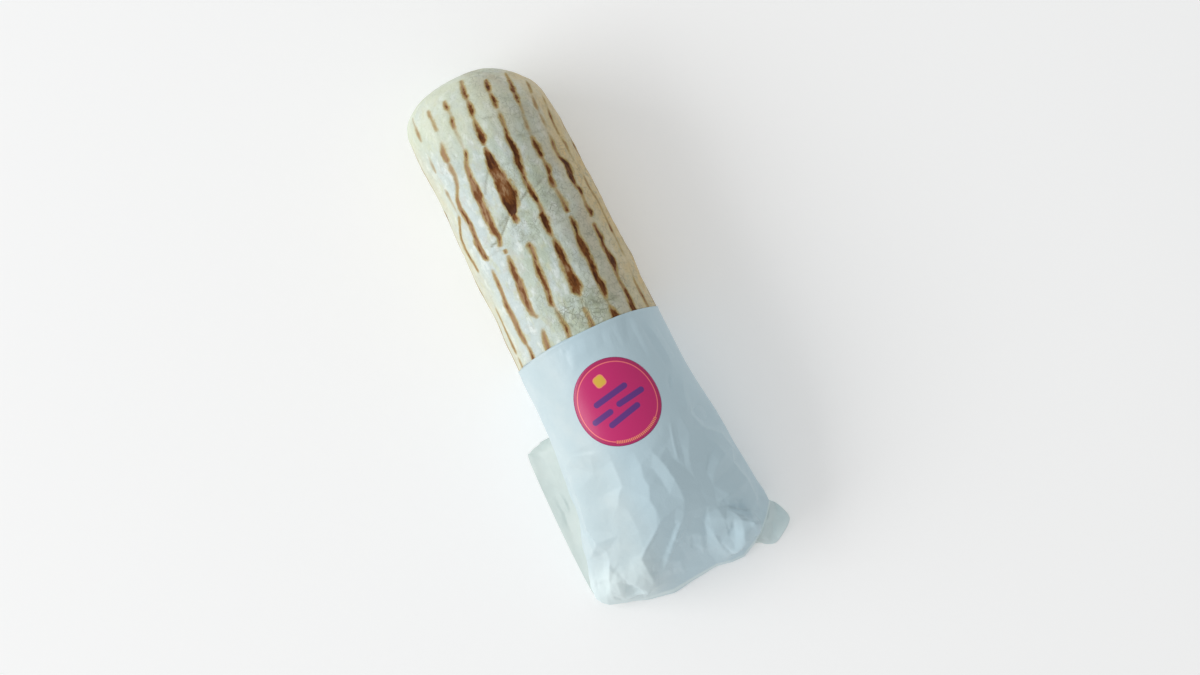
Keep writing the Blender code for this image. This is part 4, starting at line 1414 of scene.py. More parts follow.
@dataclass
class FlatbreadRoll:
    """The rolled, grilled flatbread with its closed end and the free edge of its outer layer."""

    form: RollForm
    bag: BagForm
    columns: int = 336
    tip_rings: int = 54
    barrel_rings: int = 150
    hidden_rings: int = 16
    seam_angle: float = math.radians(112.0)
    seam_step: float = 0.0014
    seam_fade: float = math.radians(62.0)
    end_fold_depth: float = 0.0016
    end_fold_fade: float = 0.62
    pleat_depth: float = 0.0007
    pleat_count: int = 9
    lump_height: float = 0.00030
    lump_waves: int = 7
    lump_seed: int = 11
    groove_depth: float = 0.00020
    inside_offset: float = -0.0006
    shown_inside: float = 0.0022
    hidden_inside: float = 0.0030
    skin_seed: int = 5
    skin: tuple[tuple[float, float, float], ...] = (
        (0.00026, 0.0100, 0.0070),
        (0.00017, 0.0046, 0.0036),
        (0.00007, 0.0019, 0.0019),
    )

    def angles(self) -> Array:
        """Angles of the columns round the roll."""
        return (np.arange(self.columns) + 0.37) * 2.0 * math.pi / self.columns

    def tip(self, theta: Array) -> tuple[Array, Array]:
        """Rings of the rounded end, evenly spaced over its surface, and their fullness.

        Args:
            theta: Angles of the columns.

        Returns:
            Points, and the section's scale at each of them.
        """
        turn = np.linspace(0.0, math.pi / 2.0, 900)
        full = np.sin(turn) ** (2.0 / self.form.tip_power)
        remain = np.cos(turn) ** (2.0 / self.form.tip_power)
        walk = np.hypot(np.diff(full) * self.form.radius, np.diff(remain) * self.form.tip_length)
        walked = np.concatenate([[0.0], np.cumsum(walk)])
        even = np.linspace(0.0, walked[-1], self.tip_rings + 1)[:-1]
        full = np.interp(even, walked, full)[:, None]
        remain = np.interp(even, walked, remain)[:, None]
        x = self.form.tip_x + self.form.tip_reach(theta) * (1.0 - remain)
        return self.form.section(x, theta, 0.0, full), full + 0.0 * x

    def barrel(self, theta: Array) -> Array:
        """Rings from the rounded end to just inside the bag's mouth.

        Args:
            theta: Angles of the columns.

        Returns:
            Points.
        """
        start = self.form.tip_x + self.form.tip_reach(theta)
        end = self.bag.mouth_x(theta) + self.shown_inside
        x = start + (end - start) * np.linspace(0.0, 1.0, self.barrel_rings)[:, None]
        return self.form.section(x, theta, 0.0)

    def inside(self, theta: Array) -> Array:
        """Rings of the part that the bag hides, which draws in a little and ends in a rounded end.

        Args:
            theta: Angles of the columns.

        Returns:
            Points.
        """
        start = self.bag.mouth_x(theta) + self.hidden_inside
        stop = self.form.end_x - self.form.end_length
        share = np.linspace(0.0, 1.0, self.hidden_rings)[:, None] ** 1.5
        x = start + (stop - start) * share
        offset = self.inside_offset * self.bag.past_lip(x - self.bag.mouth_x(theta))
        rings = self.form.section(x, theta, offset)
        turn = np.linspace(0.0, math.pi / 2.0, 7)[1:, None]
        x = stop + (self.form.end_length + self.inside_offset) * np.sin(turn) + 0.0 * theta
        end = self.form.section(x, theta, self.inside_offset, np.cos(turn))
        return np.concatenate([rings, end])

    def plain_relief(self, x: Array, theta: Array, full: Array, wander: Array) -> Array:
        """Free edge, end fold, pleats and soft lumps.

        Args:
            x: X of the points.
            theta: Angles of the points.
            full: Scale of the section at the points.
            wander: How far the free edge strays from its straight line, in radians.

        Returns:
            Height over the plain form.
        """
        open_part = 1.0 - smooth(-0.014, -0.004, x)
        past_seam = (theta - self.seam_angle - wander) % (2.0 * math.pi)
        sharp = math.radians(1.6)
        stepped = smooth(0.0, sharp, past_seam) * (1.0 - smooth(0.0, self.seam_fade, past_seam))
        seam = -self.seam_step * stepped * open_part * smooth(0.55, 0.95, full)
        across = full * np.sin(theta)
        below = -(full * np.cos(theta) + 0.10 + 0.30 * across**2)
        on_end = 1.0 - smooth(0.90, 1.0, full)
        tuck = smooth(0.0, 0.05, below) * (1.0 - smooth(0.0, self.end_fold_fade, below))
        pleats = np.cos(self.pleat_count * theta + 14.0 * wander)
        pleats = pleats * smooth(0.0, 0.3, below) * smooth(0.15, 0.6, full)
        side_fade = smooth(-0.95, -0.35, across)
        end_fold = (-self.end_fold_depth * tuck * side_fade + self.pleat_depth * pleats) * on_end
        rng = np.random.default_rng(self.lump_seed)
        lumps = np.zeros_like(x)
        for _ in range(self.lump_waves):
            turns = rng.integers(1, 4)
            wavelength = rng.uniform(0.022, 0.055)
            phase = rng.uniform(0.0, 2.0 * math.pi, 2)
            lumps += np.sin(2.0 * math.pi * x / wavelength + phase[0]) * np.sin(turns * theta + phase[1])
        lumps *= self.lump_height / math.sqrt(self.lump_waves) * (1.0 + np.cos(theta))
        return seam + end_fold + lumps * open_part * smooth(0.3, 1.0, full)

    def grill(self, x: Array, theta: Array, full: Array) -> dict[str, Array]:
        """Fields of the grill marks.

        Args:
            x: X of the points.
            theta: Angles of the points.
            full: Scale of the section at the points.

        Returns:
            Distance to the nearest row, its half width, both in millimetres, and its tone.
        """
        away = np.full(x.shape, 99.0)
        width = np.zeros(x.shape)
        tone = np.zeros(x.shape)
        for row in VISIBLE_ROWS + HiddenRows().rows():
            off = np.abs(wrapped(theta - row.centre(x, self.form))) * self.form.radius * full / MM
            half, darkness = row.strength(x)
            closer = off - half < away - width
            away = np.where(closer, off, away)
            width = np.where(closer, half, width)
            tone = np.where(closer, darkness, tone)
        return {"grill_away": np.minimum(away, 12.0), "grill_width": width, "grill_tone": tone}

    def stains(self, x: Array, y: Array, theta: Array) -> dict[str, Array]:
        """Fields of stains on the bread.

        Args:
            x: X of the points.
            y: Y of the points.
            theta: Angles of the points.

        Returns:
            Strength of painted shade along the creases, damp filling, golden sides, the warm side, the cool
            left side with its painted shade, and flour.
        """
        up = np.cos(theta)
        over = up > 0.0
        # painted shade: darkening along each crease, fading within 0.75 mm of it
        crease = np.zeros(x.shape)
        for fold in BREAD_CREASES:
            near = fold.reach(x, y)[0]
            crease = np.maximum(crease, fold.tint * (1.0 - smooth(0.00005, 0.00075, near)) * over)
        filling = np.zeros(x.shape)
        for patch in DAMP_PATCHES:
            filling = np.maximum(filling, patch.share(x, y) * over)
        under = SoftNoise(41).at(flat_points(x, theta * self.form.radius), 0.018)
        filling = np.maximum(filling, np.where(over, 0.0, 0.6 * smooth(0.0, 0.7, under)))
        across = np.sin(theta) + 0.0 * x
        bare_side = smooth(-0.104, -0.088, x)
        gold = smooth(0.62, 0.95, across) + 0.28 * smooth(0.84, 1.0, -across) * bare_side
        gold += 0.35 * smooth(0.55, 0.85, across) * smooth(-0.050, -0.062, x)
        near_end = smooth(-0.068, -0.092, x) * smooth(0.0, 0.40, across)
        start = 0.22 - 0.14 * smooth(-0.055, -0.044, x)
        warm = np.maximum(0.85 * smooth(start, 0.66, across), 0.58 * near_end)
        warm = warm * (1.0 - 0.45 * smooth(-0.062, -0.078, x) * smooth(0.58, 0.74, across))
        # painted shade: the side towards the light is made cooler and darker
        left = (0.78 + 0.20 * smooth(-0.070, -0.052, x)) * smooth(0.15, 0.75, -across) * bare_side
        floury = 0.72 * smooth(-0.080, -0.098, x) * (1.0 - smooth(0.2, 0.75, across)) * smooth(-0.3, 0.1, up)
        floury = np.maximum(floury, 0.60 * smooth(0.72, 0.96, -across))
        beneath = 0.55 + 0.45 * smooth(-0.40, 0.15, up)
        gold = np.clip(gold, 0.0, 1.15) * beneath * smooth(-0.1155, -0.1030, x)
        gold = gold * (1.0 - 0.42 * smooth(-0.066, -0.084, x) * (across > 0.0))
        return {
            "crease": crease,
            "filling": filling,
            "gold": gold,
            "warm": warm,
            "left": left,
            "floury": floury,
        }

    def build(self, finish: bpy.types.Material) -> bpy.types.Object:
        """Make the roll.

        Args:
            finish: Its material.

        Returns:
            The piece.
        """
        theta = self.angles()
        tip, tip_full = self.tip(theta)
        barrel = self.barrel(theta)
        shown = np.concatenate([tip, barrel])
        full = np.concatenate([tip_full, np.ones(barrel.shape[:2])])
        turn = theta + 0.0 * full
        x, y = shown[..., 0], shown[..., 1]
        wander = 0.030 * SoftNoise(3).at(flat_points(x, 0.0 * x), 0.014)
        marks = self.grill(x, turn, full)
        bare = 1.0 - smooth(-0.008, -0.001, x)
        relief = self.plain_relief(x, turn, full, wander)
        press = np.exp(-((marks["grill_away"] / np.maximum(marks["grill_width"] + 0.5, 0.1)) ** 2))
        relief -= self.groove_depth * press * smooth(0.2, 0.8, marks["grill_width"]) * bare
        skin = np.zeros(x.shape)
        for seed, (height, along, around) in enumerate(self.skin, self.skin_seed):
            skin += height * SoftNoise(seed).at(shown, (along, around, around))
        relief += skin * bare * smooth(0.1, 0.6, full)
        over = smooth(0.0, 0.3, np.cos(turn))
        relief += sum(fold.relief(x, y) for fold in BREAD_CREASES) * over * bare
        shown = lifted(shown, relief)
        shown[..., 2] = np.maximum(shown[..., 2], 0.0)
        hidden = self.inside(theta)
        values = marks | self.stains(x, y, turn)
        blank = np.zeros(hidden.shape[:2])
        values = {key: np.concatenate([value, blank]) for key, value in values.items()}
        mesh = ring_mesh("flatbread_roll_skin", np.concatenate([shown, hidden]), Closing.POLE, values)
        return add_piece("grilled_roll", mesh, finish, "flatbread_roll")


# --- paper bag ---

TOP_FACETS = FoldNet((
    # borders: label side, the two sides and the folded end
    ((44, -33.3, 0), (46, -27, 0), (48, -20, 0), (50, -12, 0), (53, -4, 0), (53.5, 3, 0), (52, 9.2, 0),
     (47.5, 15.4, 0), (44, 20.4, 0), (43, 28, 0), (44, 33.6, 0)),
    ((44, -33.3, 0), (60, -34.05, 0), (75, -36.35, 0), (88, -40.4, 0), (98, -43.3, 0), (104.3, -43.5, 0)),
    ((104.3, -43.5, 0), (108.8, -40.2, 0), (111.5, -34, 0), (113.4, -26, 0), (115.4, -14, 0),
     (114.6, -2, 0), (114, 7.8, 0), (115.2, 15, 0), (113.6, 23, 0), (108.8, 30.2, 0), (104.6, 34.4, 0),
     (100.6, 37.2, 0)),
    ((44, 33.6, 0), (60, 35.2, 0), (75, 36.7, 0), (88, 38.1, 0), (96, 38.6, 0), (100.6, 37.2, 0)),
    # the long flat on the -Y side
    ((48, -31.3, 1.0), (60, -31.9, 1.9), (68, -32.8, 1.9), (76, -34.2, 1.6), (83, -34.0, .4),
     (88, -32.4, -2.0), (93, -33.2, -2.2), (97, -32.6, -1.8), (101.5, -29.2, .8), (104.2, -26, 3.8),
     (108.3, -22.6, 6.6)),
    ((50, -12, 0), (54, -13.2, 0), (60, -13.4, -.1), (65.6, -13.8, -.2), (68.6, -17, -.5), (72, -18.8, -.6),
     (76, -16, -.5), (80, -15.8, -.5), (84.6, -15.6, -.3), (87, -8, 1.3)),
    ((48, -20, 0), (56, -23, -1.8), (66, -23.6, -2.5), (71, -27, -1.9), (76, -23, -1.9), (84, -24.5, -2.1),
     (90, -26.4, -1.3), (95, -23.5, -.3), (101.5, -24, 3.0), (108.3, -22.6, 6.6)),
    # middle ridges and valleys
    ((61, -3, .1), (66, -4.3, .6), (70, -3.6, .9), (72.6, -4.7, 1.0), (75, -5.7, 1.1), (80, -5.3, 1.1),
     (85, -5.5, 1.2), (87, -8, 1.3), (90, -12.4, 1.5), (93, -16.4, 1.6), (95.6, -19.2, 1.9),
     (100, -18.9, 3.7), (104.6, -18.4, 5.4), (108.5, -19.6, 5.8)),
    ((61, -3, .1), (64, .4, -.2), (68, 1.6, -.3), (72.5, 2.2, -.1), (77, 2.6, .1), (83, 2.6, .2),
     (87.6, -.4, -.4), (90, -.7, -.9), (95, -5.6, -1.0), (100, -11.6, .3), (103, -15.6, 2.0),
     (108.5, -19.6, 5.8)),
    ((58, 3.4, .1), (62, 4.9, .5), (66, 6.0, 1.0), (72, 6.8, 1.2), (77, 7.2, .9), (82, 6.9, .3),
     (87, 4.4, .1), (90, 1.7, .2), (95, -3.5, .4), (100, -9.2, 1.2), (104, -13.4, 2.2), (109.5, -17.8, 3.2)),
    ((52, 9.2, 0), (59, 9.9, -.4), (65, 10.4, -.6), (70, 13.2, -1.1), (76, 15, -1.3), (82, 15.4, -1.5),
     (89, 14.8, -2.1), (94.5, 11.0, -3.0), (100, 9.4, -3.2), (106, 6.4, -2.6), (110, -2, -1.2),
     (113, -10, -.4)),
    # +Y side of the top
    ((47.5, 15.4, 0), (54, 13.9, 0), (60, 12.6, -.1), (65, 11.9, -.3), (70, 13.2, -1.1)),
    ((52, 17.2, -.15), (60, 15.6, -.4), (66, 14.6, -.75), (70, 13.2, -1.1)),
    ((44, 20.4, 0), (51, 20.2, .4), (57, 20.6, .4), (60, 19.6, .4), (64.5, 17.3, .2), (68.5, 15.9, -.4)),
    ((46, 24.6, -.5), (51, 25, -.6), (55.5, 24.4, -.6)),
    ((58, 27, -.4), (62, 26, -.7), (67, 23.4, -1.1), (72, 21.6, -1.4)),
    ((64, 32.5, .9), (67, 29, -.4), (69, 26.4, -1.4), (71.4, 23.6, -1.9), (76, 20.8, -1.8)),
    ((70.6, 33.6, 2.0), (72, 29.6, 1.5), (74, 26.2, .8), (77.6, 22.8, -.5)),
    ((77, 32, .5), (79.4, 27.6, -.9), (82, 21, -1.7), (88.6, 19, -1.8)),
    ((85.6, 33.6, 1.9), (87.4, 28.8, 1.3), (88.8, 25, .7), (88.8, 22, -.8)),
    # the lump at the +Y end
    ((92, 14.2, -1.9), (91, 18, -1.4), (92.6, 22.4, -1.0), (95.6, 25.6, -.7), (98.4, 29.8, .0)),
    ((93.2, 13.4, -1.1), (94.6, 18, 2.0), (97.4, 24, 5.2), (100.8, 29, 9.8), (103.4, 26.8, 10.2),
     (104.4, 21.2, 8.8), (107.0, 17.6, 7.4), (111.0, 13.6, 4.8), (105.6, 12.4, 3.2), (99.6, 11.8, .6),
     (93.2, 13.4, -1.1)),
    ((99.6, 20.6, 4.6), (98.8, 17.8, 3.3)),
    ((102.4, 16.6, 4.0), (101.6, 13.6, 1.2)),
    ((102.4, 31.4, .6), (105.6, 28.4, .4), (108.6, 24, .2), (111.6, 19, -.3), (113.4, 13, -.2),
     (112.2, 8, .2)),
    ((92.6, 34.5, .5), (95.4, 31.4, -.7), (99.6, 33.6, -.4)),
    # the -Y corner of the end
    ((104.0, -29.6, -.2), (105.4, -28.4, -1.0), (107.6, -31.0, -1.0), (108.8, -28, -.7),
     (109.6, -24.8, -.2)),
    ((105.8, -36.6, 2.4), (106.8, -33.4, 2.6), (108.2, -37.0, 1.9), (108.8, -33, 1.8), (109.4, -27.6, 1.6),
     (108.8, -24.6, 2.4)),
    ((99, -35.4, .5), (101, -33, 1.0), (102.8, -36.8, 1.0), (104.4, -39.2, 1.2)),
))

SHOULDER_FACETS = FoldNet((
    # the lump's outer side, lifted straight up
    ((92.4, 21.0, 0), (94.4, 25.0, 0), (97.4, 29.8, 0), (100.4, 33.6, 0), (105, 33.8, 0), (109.6, 29.6, 0),
     (112.4, 23, 0), (111.5, 17.5, 0), (104.5, 17.0, 0), (97.5, 18.5, 0), (92.4, 21.0, 0)),
    ((97.0, 24.2, 1.7), (100.0, 28.8, 3.6), (103.6, 29.4, 3.8), (105.6, 24.6, 2.4)),
    ((101.2, 25.4, 2.2),),
))

FINE_FOLDS: tuple[Crease, ...] = (
    Crease(((32.5, 23.6), (36, 22), (40, 21.2)), -0.55, 0.9, 2.0),
    Crease(((35, 28.0), (42, 25.4), (50, 23.8)), 0.55, 2.6, 2.2),
    Crease(((4.5, -7.6), (5.6, -9.2), (6.0, -11.6)), -0.16, 0.9, 1.0),
    Crease(((3.6, -11.8), (5.2, -12.2), (6.8, -11.4)), 0.14, 0.9, 1.0),
    Crease(((9.0, 23.6), (18, 25.2), (30, 26.4)), 0.75, 3.0, 2.2),
    Crease(((2.5, 20.4), (12, 19.8), (24, 20.2)), 0.40, 2.6, 1.8),
    Crease(((2.0, 17.4), (7, 16.4), (12, 15.0)), -0.34, 2.6, 2.2),
    Crease(((2.0, 13.0), (8, 12.2), (15, 12.0)), 0.26, 3.0, 3.4),
    Crease(((3.0, 6.5), (10, 4.6), (17, 3.6)), -0.20, 3.0, 3.0),
    Crease(((2.5, -2.0), (9, -2.6), (16, -3.8)), 0.16, 3.0, 3.0),
    Crease(((2.5, -18.5), (8, -19.4), (15, -19.6)), 0.18, 2.8, 2.8),
    Crease(((49, 15.9), (54, 14.5), (60, 13.0), (66, 12.1)), 0.30, 0.8, 0.8),
    Crease(((92, 4.4), (94, 0.6), (97, -3.8), (101, -9.2), (103, -12)), 0.35, 0.9, 0.9),
    Crease(((87.4, -8), (91, -13), (94.6, -18)), 0.30, 0.8, 1.2),
    Crease(((76, -35.6), (82, -36.6), (88, -37.4)), 0.50, 1.2, 1.8),
    Crease(((93, -34.3), (97, -33), (100, -31)), 0.50, 1.2, 1.6),
    Crease(((97, 4.4), (102, 2.4), (106, 3.6)), -0.40, 1.6, 1.6),
    Crease(((98, 8), (103, 5.4), (107, 6.2)), 0.35, 1.6, 1.6),
    Crease(((103, -4), (107, -6), (111, -5.6)), 0.45, 1.6, 1.8),
    Crease(((104, -8.6), (108, -10), (112, -9)), -0.40, 1.6, 1.6),
    Crease(((97, 21), (100, 19.6), (100.8, 16.6)), -0.45, 1.0, 1.2),
    Crease(((108.6, 22), (111, 19.6), (112.6, 16)), -0.40, 1.4, 1.4),
    Crease(((110, 25), (112.2, 21.6), (113.2, 18)), 0.45, 1.0, 1.4),
    Crease(((97.2, 23.8), (102, 21.8), (106.6, 19.4), (111.2, 14.4)), 1.25, 3.6, 2.4),
    Crease(((98.8, 27.8), (101.6, 27.8), (104.4, 25.6)), 0.75, 1.1, 2.2),
    Crease(((104.6, 13.4), (107.8, 14.6), (111, 15.6)), -0.60, 1.0, 1.3),
    Crease(((88.7, 19.6), (88.6, 22.4), (87.7, 25.8)), 0.42, 0.8, 0.8),
    Crease(((90.4, 24.2), (91.8, 27.0), (92.9, 29.2)), -0.36, 0.9, 1.2),
    Crease(((109.6, -33.8), (109.2, -28.6), (108.6, -24.4), (108.9, -21.4)), 2.60, 0.9, 0.9),
    Crease(((105.8, -37.0), (107.4, -35.2), (109.2, -33.4)), -1.30, 0.9, 0.9),
)

TAIL_FOLDS: tuple[Crease, ...] = (
    Crease(((36.5, -34.4), (44, -35.2), (58, -35.6), (70, -37.2)), -0.35, 1.2, 2.2),
    Crease(((75, -37.6), (81, -38.8), (88, -39.2)), 0.85, 1.0, 1.6),
    Crease(((58, -39.2), (62, -38.4), (67, -38.8)), 0.35, 1.0, 1.4),
    Crease(((59, -41.2), (66, -40.6), (74, -41.4)), -0.25, 1.2, 1.2),
    Crease(((90, -40), (97, -38.6), (103, -41)), 0.40, 1.4, 1.6),
    Crease(((95, 38.6), (101, 37.2), (105, 35.6), (104.4, 30.6)), 0.90, 1.8, 2.4),
    Crease(((98, 41), (104, 39.4), (108.4, 41)), -0.60, 1.8, 1.8),
    Crease(((105.4, 36), (110, 35), (114.4, 31.6)), -0.55, 1.8, 1.6),
    Crease(((107, 32.2), (111, 30.8), (113.6, 32.4)), 0.55, 1.4, 1.4),
)


@dataclass(frozen=True)
class CrumpleDepths:
    """Heights of the crumpled paper's facets, in metres.

    Wide, middle and small facets each have a height that holds all over the loose bag. What they gain
    below, on the +Y and -Y sides and towards the folded end is added to it. The sides also swell a
    little, the mouth has short flutes, and slow waves run over the whole bag.
    """

    wide: float = 0.00014
    wide_below: float = 0.00050
    wide_side: float = 0.00190
    middle: float = 0.00012
    middle_far: float = 0.00042
    middle_side: float = 0.00060
    small: float = 0.00004
    small_far: float = 0.00020
    side_swell: float = 0.0006
    flute: float = 0.00050
    wave: float = 0.00022


@dataclass
class PaperBag:
    """The crumpled paper bag: its body, closed by the fold at its far end, and the folded tail."""

    form: BagForm
    roll: RollForm
    columns: int = 400
    rings: int = 204
    finer_top: float = 0.28
    lip_wall: float = 0.00016
    full_wall: float = 0.0006
    lip_height: float = 0.00022
    lip_flare: float = 0.00018
    lip_depth: float = 0.0022
    mouth_sway: float = 0.00040
    fold_sway: float = 0.0006
    depths: CrumpleDepths = CrumpleDepths()
    label_x: float = 0.0333
    label_y: float = -0.0011
    smooth_round_label: float = 0.0202
    relief_round_label: float = 0.0260
    tail_outline: Plan = (
        (35.2, 25.0), (35.0, -30.0), (36.0, -38.0), (37.4, -42.5), (41.0, -44.3),
        (70.0, -45.0), (95.0, -44.6), (104.0, -43.4), (107.6, -39.6), (109.6, -33.0),
        (111.0, -24.0), (112.0, -13.0), (111.4, -3.0), (110.8, 8.0), (111.6, 15.0), (111.6, 23.0),
        (112.2, 27.2), (114.4, 30.2), (115.4, 34.0), (113.0, 38.4), (110.2, 42.2),
        (107.0, 43.6), (100.5, 41.2), (95.5, 37.5), (80.0, 32.0), (42.0, 29.0),
    )
    tail_centre: tuple[float, float] = (76.0, -6.0)
    tail_thickness: float = 0.0015
    tail_edge: float = 0.00035
    tail_spacing: float = 0.0008
    tail_rim: float = 0.80
    tail_lift: float = 0.0006
    tail_waves: float = 0.00022
    tail_crumple: float = 0.00009
    ear_start: float = 0.0350
    ear_slope: float = 0.55
    ear_drape: float = 0.0017

    def relief(self, grid: Array, theta: Array) -> Array:
        """Folds and crumpling over the plain form.

        Args:
            grid: Points of the plain form.
            theta: Their angles.

        Returns:
            Heights along the outward normals.
        """
        x, y = grid[..., 0], grid[..., 1]
        arc = wrapped(theta) * self.form.radius
        up = np.cos(theta)
        folds = sum(fold.relief(x, y) for fold in FINE_FOLDS) * smooth(-0.10, 0.25, up)
        plain = outward(self.form.section(x, theta))
        facets = TOP_FACETS.height(x, y, self.form.top_at) * plain[..., 2] * smooth(0.0, 0.08, up)
        facets = facets * smooth(0.044, 0.053, x)
        stray = 0.0012 * SoftNoise(12).at(grid, 0.013)
        drift = 0.0012 * SoftNoise(13).at(grid, 0.013)
        wide = CrumpleNet(0.0120, 31).height(x * 0.8 + stray, arc + drift)
        middle = CrumpleNet(0.0060, 32).height(x + stray, arc - drift)
        small = CrumpleNet(0.0030, 33).height(x - drift, arc + stray)
        far = smooth(0.084, 0.104, x)
        over = smooth(-0.15, 0.25, up)
        side = smooth(0.12, -0.25, up) * smooth(0.040, 0.062, x)
        depths = self.depths
        broad = wide * (depths.wide + depths.wide_below * (1.0 - over) + depths.wide_side * side)
        finer = middle * (depths.middle + depths.middle_far * far + depths.middle_side * side)
        finer += small * (depths.small + depths.small_far * far)
        crumple = broad + depths.side_swell * side + finer
        under = 0.25 + 0.75 * smooth(-0.95, -0.2, up)
        waves = depths.wave * SoftNoise(14).at(grid, (0.030, 0.016, 0.016))
        from_label = np.hypot(x - self.label_x, arc - self.label_y)
        clear = smooth(self.smooth_round_label, self.relief_round_label, from_label)
        past_hug = smooth(0.038, 0.050, x)
        flutes = depths.flute * np.maximum(SoftNoise(21).at(flat_points(0.12 * x, arc), 0.0075), -0.1)
        flutes = flutes * smooth(0.002, 0.010, x) * (1.0 - smooth(0.012, 0.034, x))
        soft = (waves * 0.5 + wide * 0.00010 + middle * 0.00005) * smooth(0.004, 0.020, x) + flutes
        crumpled = (folds + facets + (crumple + waves) * under) * past_hug
        return (crumpled + (soft + folds) * (1.0 - past_hug)) * clear

    def body_rings(self, theta: Array) -> Array:
        """Rings of the outside, from the folded end to the mouth.

        Args:
            theta: Angles of the columns.

        Returns:
            Points.
        """
        share = np.linspace(0.0, 1.0, self.rings)[:, None] ** 0.86
        edge = self.form.mouth_x(theta)
        edge = edge + self.mouth_sway * SoftNoise(15).at(flat_points(theta * 0.03, 0.0 * theta), 0.006)
        across = flat_points(np.sin(theta) * 0.030, 0.0 * theta)
        end = self.form.fold_x(theta) + self.fold_sway * SoftNoise(16).at(across, 0.007)
        x = edge + (end - edge) * share
        pinch = np.clip((share - self.form.fold_close) / (1.0 - self.form.fold_close), 0.0, 1.0)
        closing = (1.0 - pinch**1.7) ** 0.62
        grid = self.form.section(x, theta, closing)
        turn = theta + 0.0 * x
        pressed = 1.0 - 0.85 * smooth(0.93, 0.99, share)
        relief = self.relief(grid, turn) * pressed * (1.0 - smooth(0.985, 1.0, share))
        lip = self.lip_height * (1.0 - smooth(0.0, self.lip_depth, x - edge))
        lip = lip * (1.0 + 0.8 * SoftNoise(17).at(grid, 0.009))
        grid = lifted(grid, relief + lip)
        shoulder = SHOULDER_FACETS.height(grid[..., 0], grid[..., 1], self.form.top_at)
        grid[..., 2] += shoulder * smooth(0.0, 0.12, np.cos(turn))
        grid[..., 2] = np.maximum(grid[..., 2], 0.0)
        return grid[::-1]

    def cup_rings(self, theta: Array) -> Array:
        """Rings of the hollow that the roll fills, from the mouth inwards.

        Args:
            theta: Angles of the columns.

        Returns:
            Points.
        """
        edge = self.form.mouth_x(theta)
        depths = np.array((0.0, 0.0006, 0.0014, 0.0022, 0.0032, 0.0045, 0.0065, 0.0100))[:, None]
        near = edge + depths
        inner = self.form.gap - self.full_wall
        thick = self.form.past_lip(depths)
        offset = (self.form.gap - self.lip_wall) * (1.0 - thick) + inner * thick
        flare = self.lip_flare * (1.0 - smooth(0.0, self.lip_depth, depths))
        shallow = self.roll.section(near, theta, offset + flare)
        stop = self.roll.end_x - self.roll.end_length
        x = np.linspace(0.020, stop, 5)[:, None] + 0.0 * theta
        deep = self.roll.section(x, theta, inner)
        turn = np.linspace(0.0, math.pi / 2.0, 7)[1:, None]
        x = stop + (self.roll.end_length - 0.0003) * np.sin(turn) + 0.0 * theta
        end = self.roll.section(x, theta, inner, np.cos(turn))
        return np.concatenate([shallow, deep, end])

    def build_body(self, finish: bpy.types.Material) -> bpy.types.Object:
        """Make the bag's body.

        Args:
            finish: Its material.

        Returns:
            The piece.
        """
        even = (np.arange(self.columns) + 0.5) * 2.0 * math.pi / self.columns
        theta = even - self.finer_top * np.sin(even)
        rings = np.concatenate([self.body_rings(theta), self.cup_rings(theta)])
        x, y, z = (rings[..., i] for i in range(3))
        # painted light: paler paper at the lower -Y corner of the end and along the folded edge
        loose = smooth(0.090, 0.100, x) * smooth(-0.017, -0.021, y)
        loose = loose * (0.45 + 0.45 * smooth(-0.028, -0.034, y))
        loose = np.maximum(loose, 0.9 * smooth(-0.0017, -0.0006, x - self.form.fold_x(theta)))
        # painted shade: the paper grows bluer towards the +Y side
        fields = {"painted_light_share": loose * smooth(0.0, 0.004, z), "painted_shade_blue": 0.9 * smooth(-0.024, -0.004, y)}
        mesh = ring_mesh("paper_bag_skin", rings, Closing.PINCHED, fields)
        return add_piece("paper_bag_body", mesh, finish, "paper_bag")

    def outline(self) -> Array:
        """Smooth outline of the tail.

        Returns:
            Evenly spaced points round it.
        """
        ring = np.array(self.tail_outline) * MM
        out = []
        for i in range(len(ring)):
            before, start, end, after = (ring[(i + k) % len(ring)] for k in (-1, 0, 1, 2))
            steps = max(2, round(float(np.linalg.norm(end - start)) / self.tail_spacing))
            for t in np.arange(steps) / steps:
                bend = (end - before) * t * (1.0 - t) ** 2 - (after - start) * t * t * (1.0 - t)
                ease = t * t * (3.0 - 2.0 * t)
                out.append(start * (1.0 - ease) + end * ease + bend / 2.0)
        return np.array(out)

    def tail_relief(self, x: Array, y: Array) -> Array:
        """Gentle waves and creases in the tail's upper face.

        Args:
            x: X of the points.
            y: Y of the points.

        Returns:
            Height over the plain face.
        """
        place = flat_points(x, y)
        stray = 0.0015 * SoftNoise(18).at(place, 0.010)
        net = CrumpleNet(0.0085, 34).height(x * 0.6 + stray, y + stray)
        small = CrumpleNet(0.0040, 35).height(x + stray, y - stray)
        waves = SoftNoise(19).at(place, (0.024, 0.008, 0.010))
        folds = sum(fold.relief(x, y) for fold in TAIL_FOLDS)
        return folds + self.tail_waves * net + self.tail_crumple * small + self.tail_waves * waves

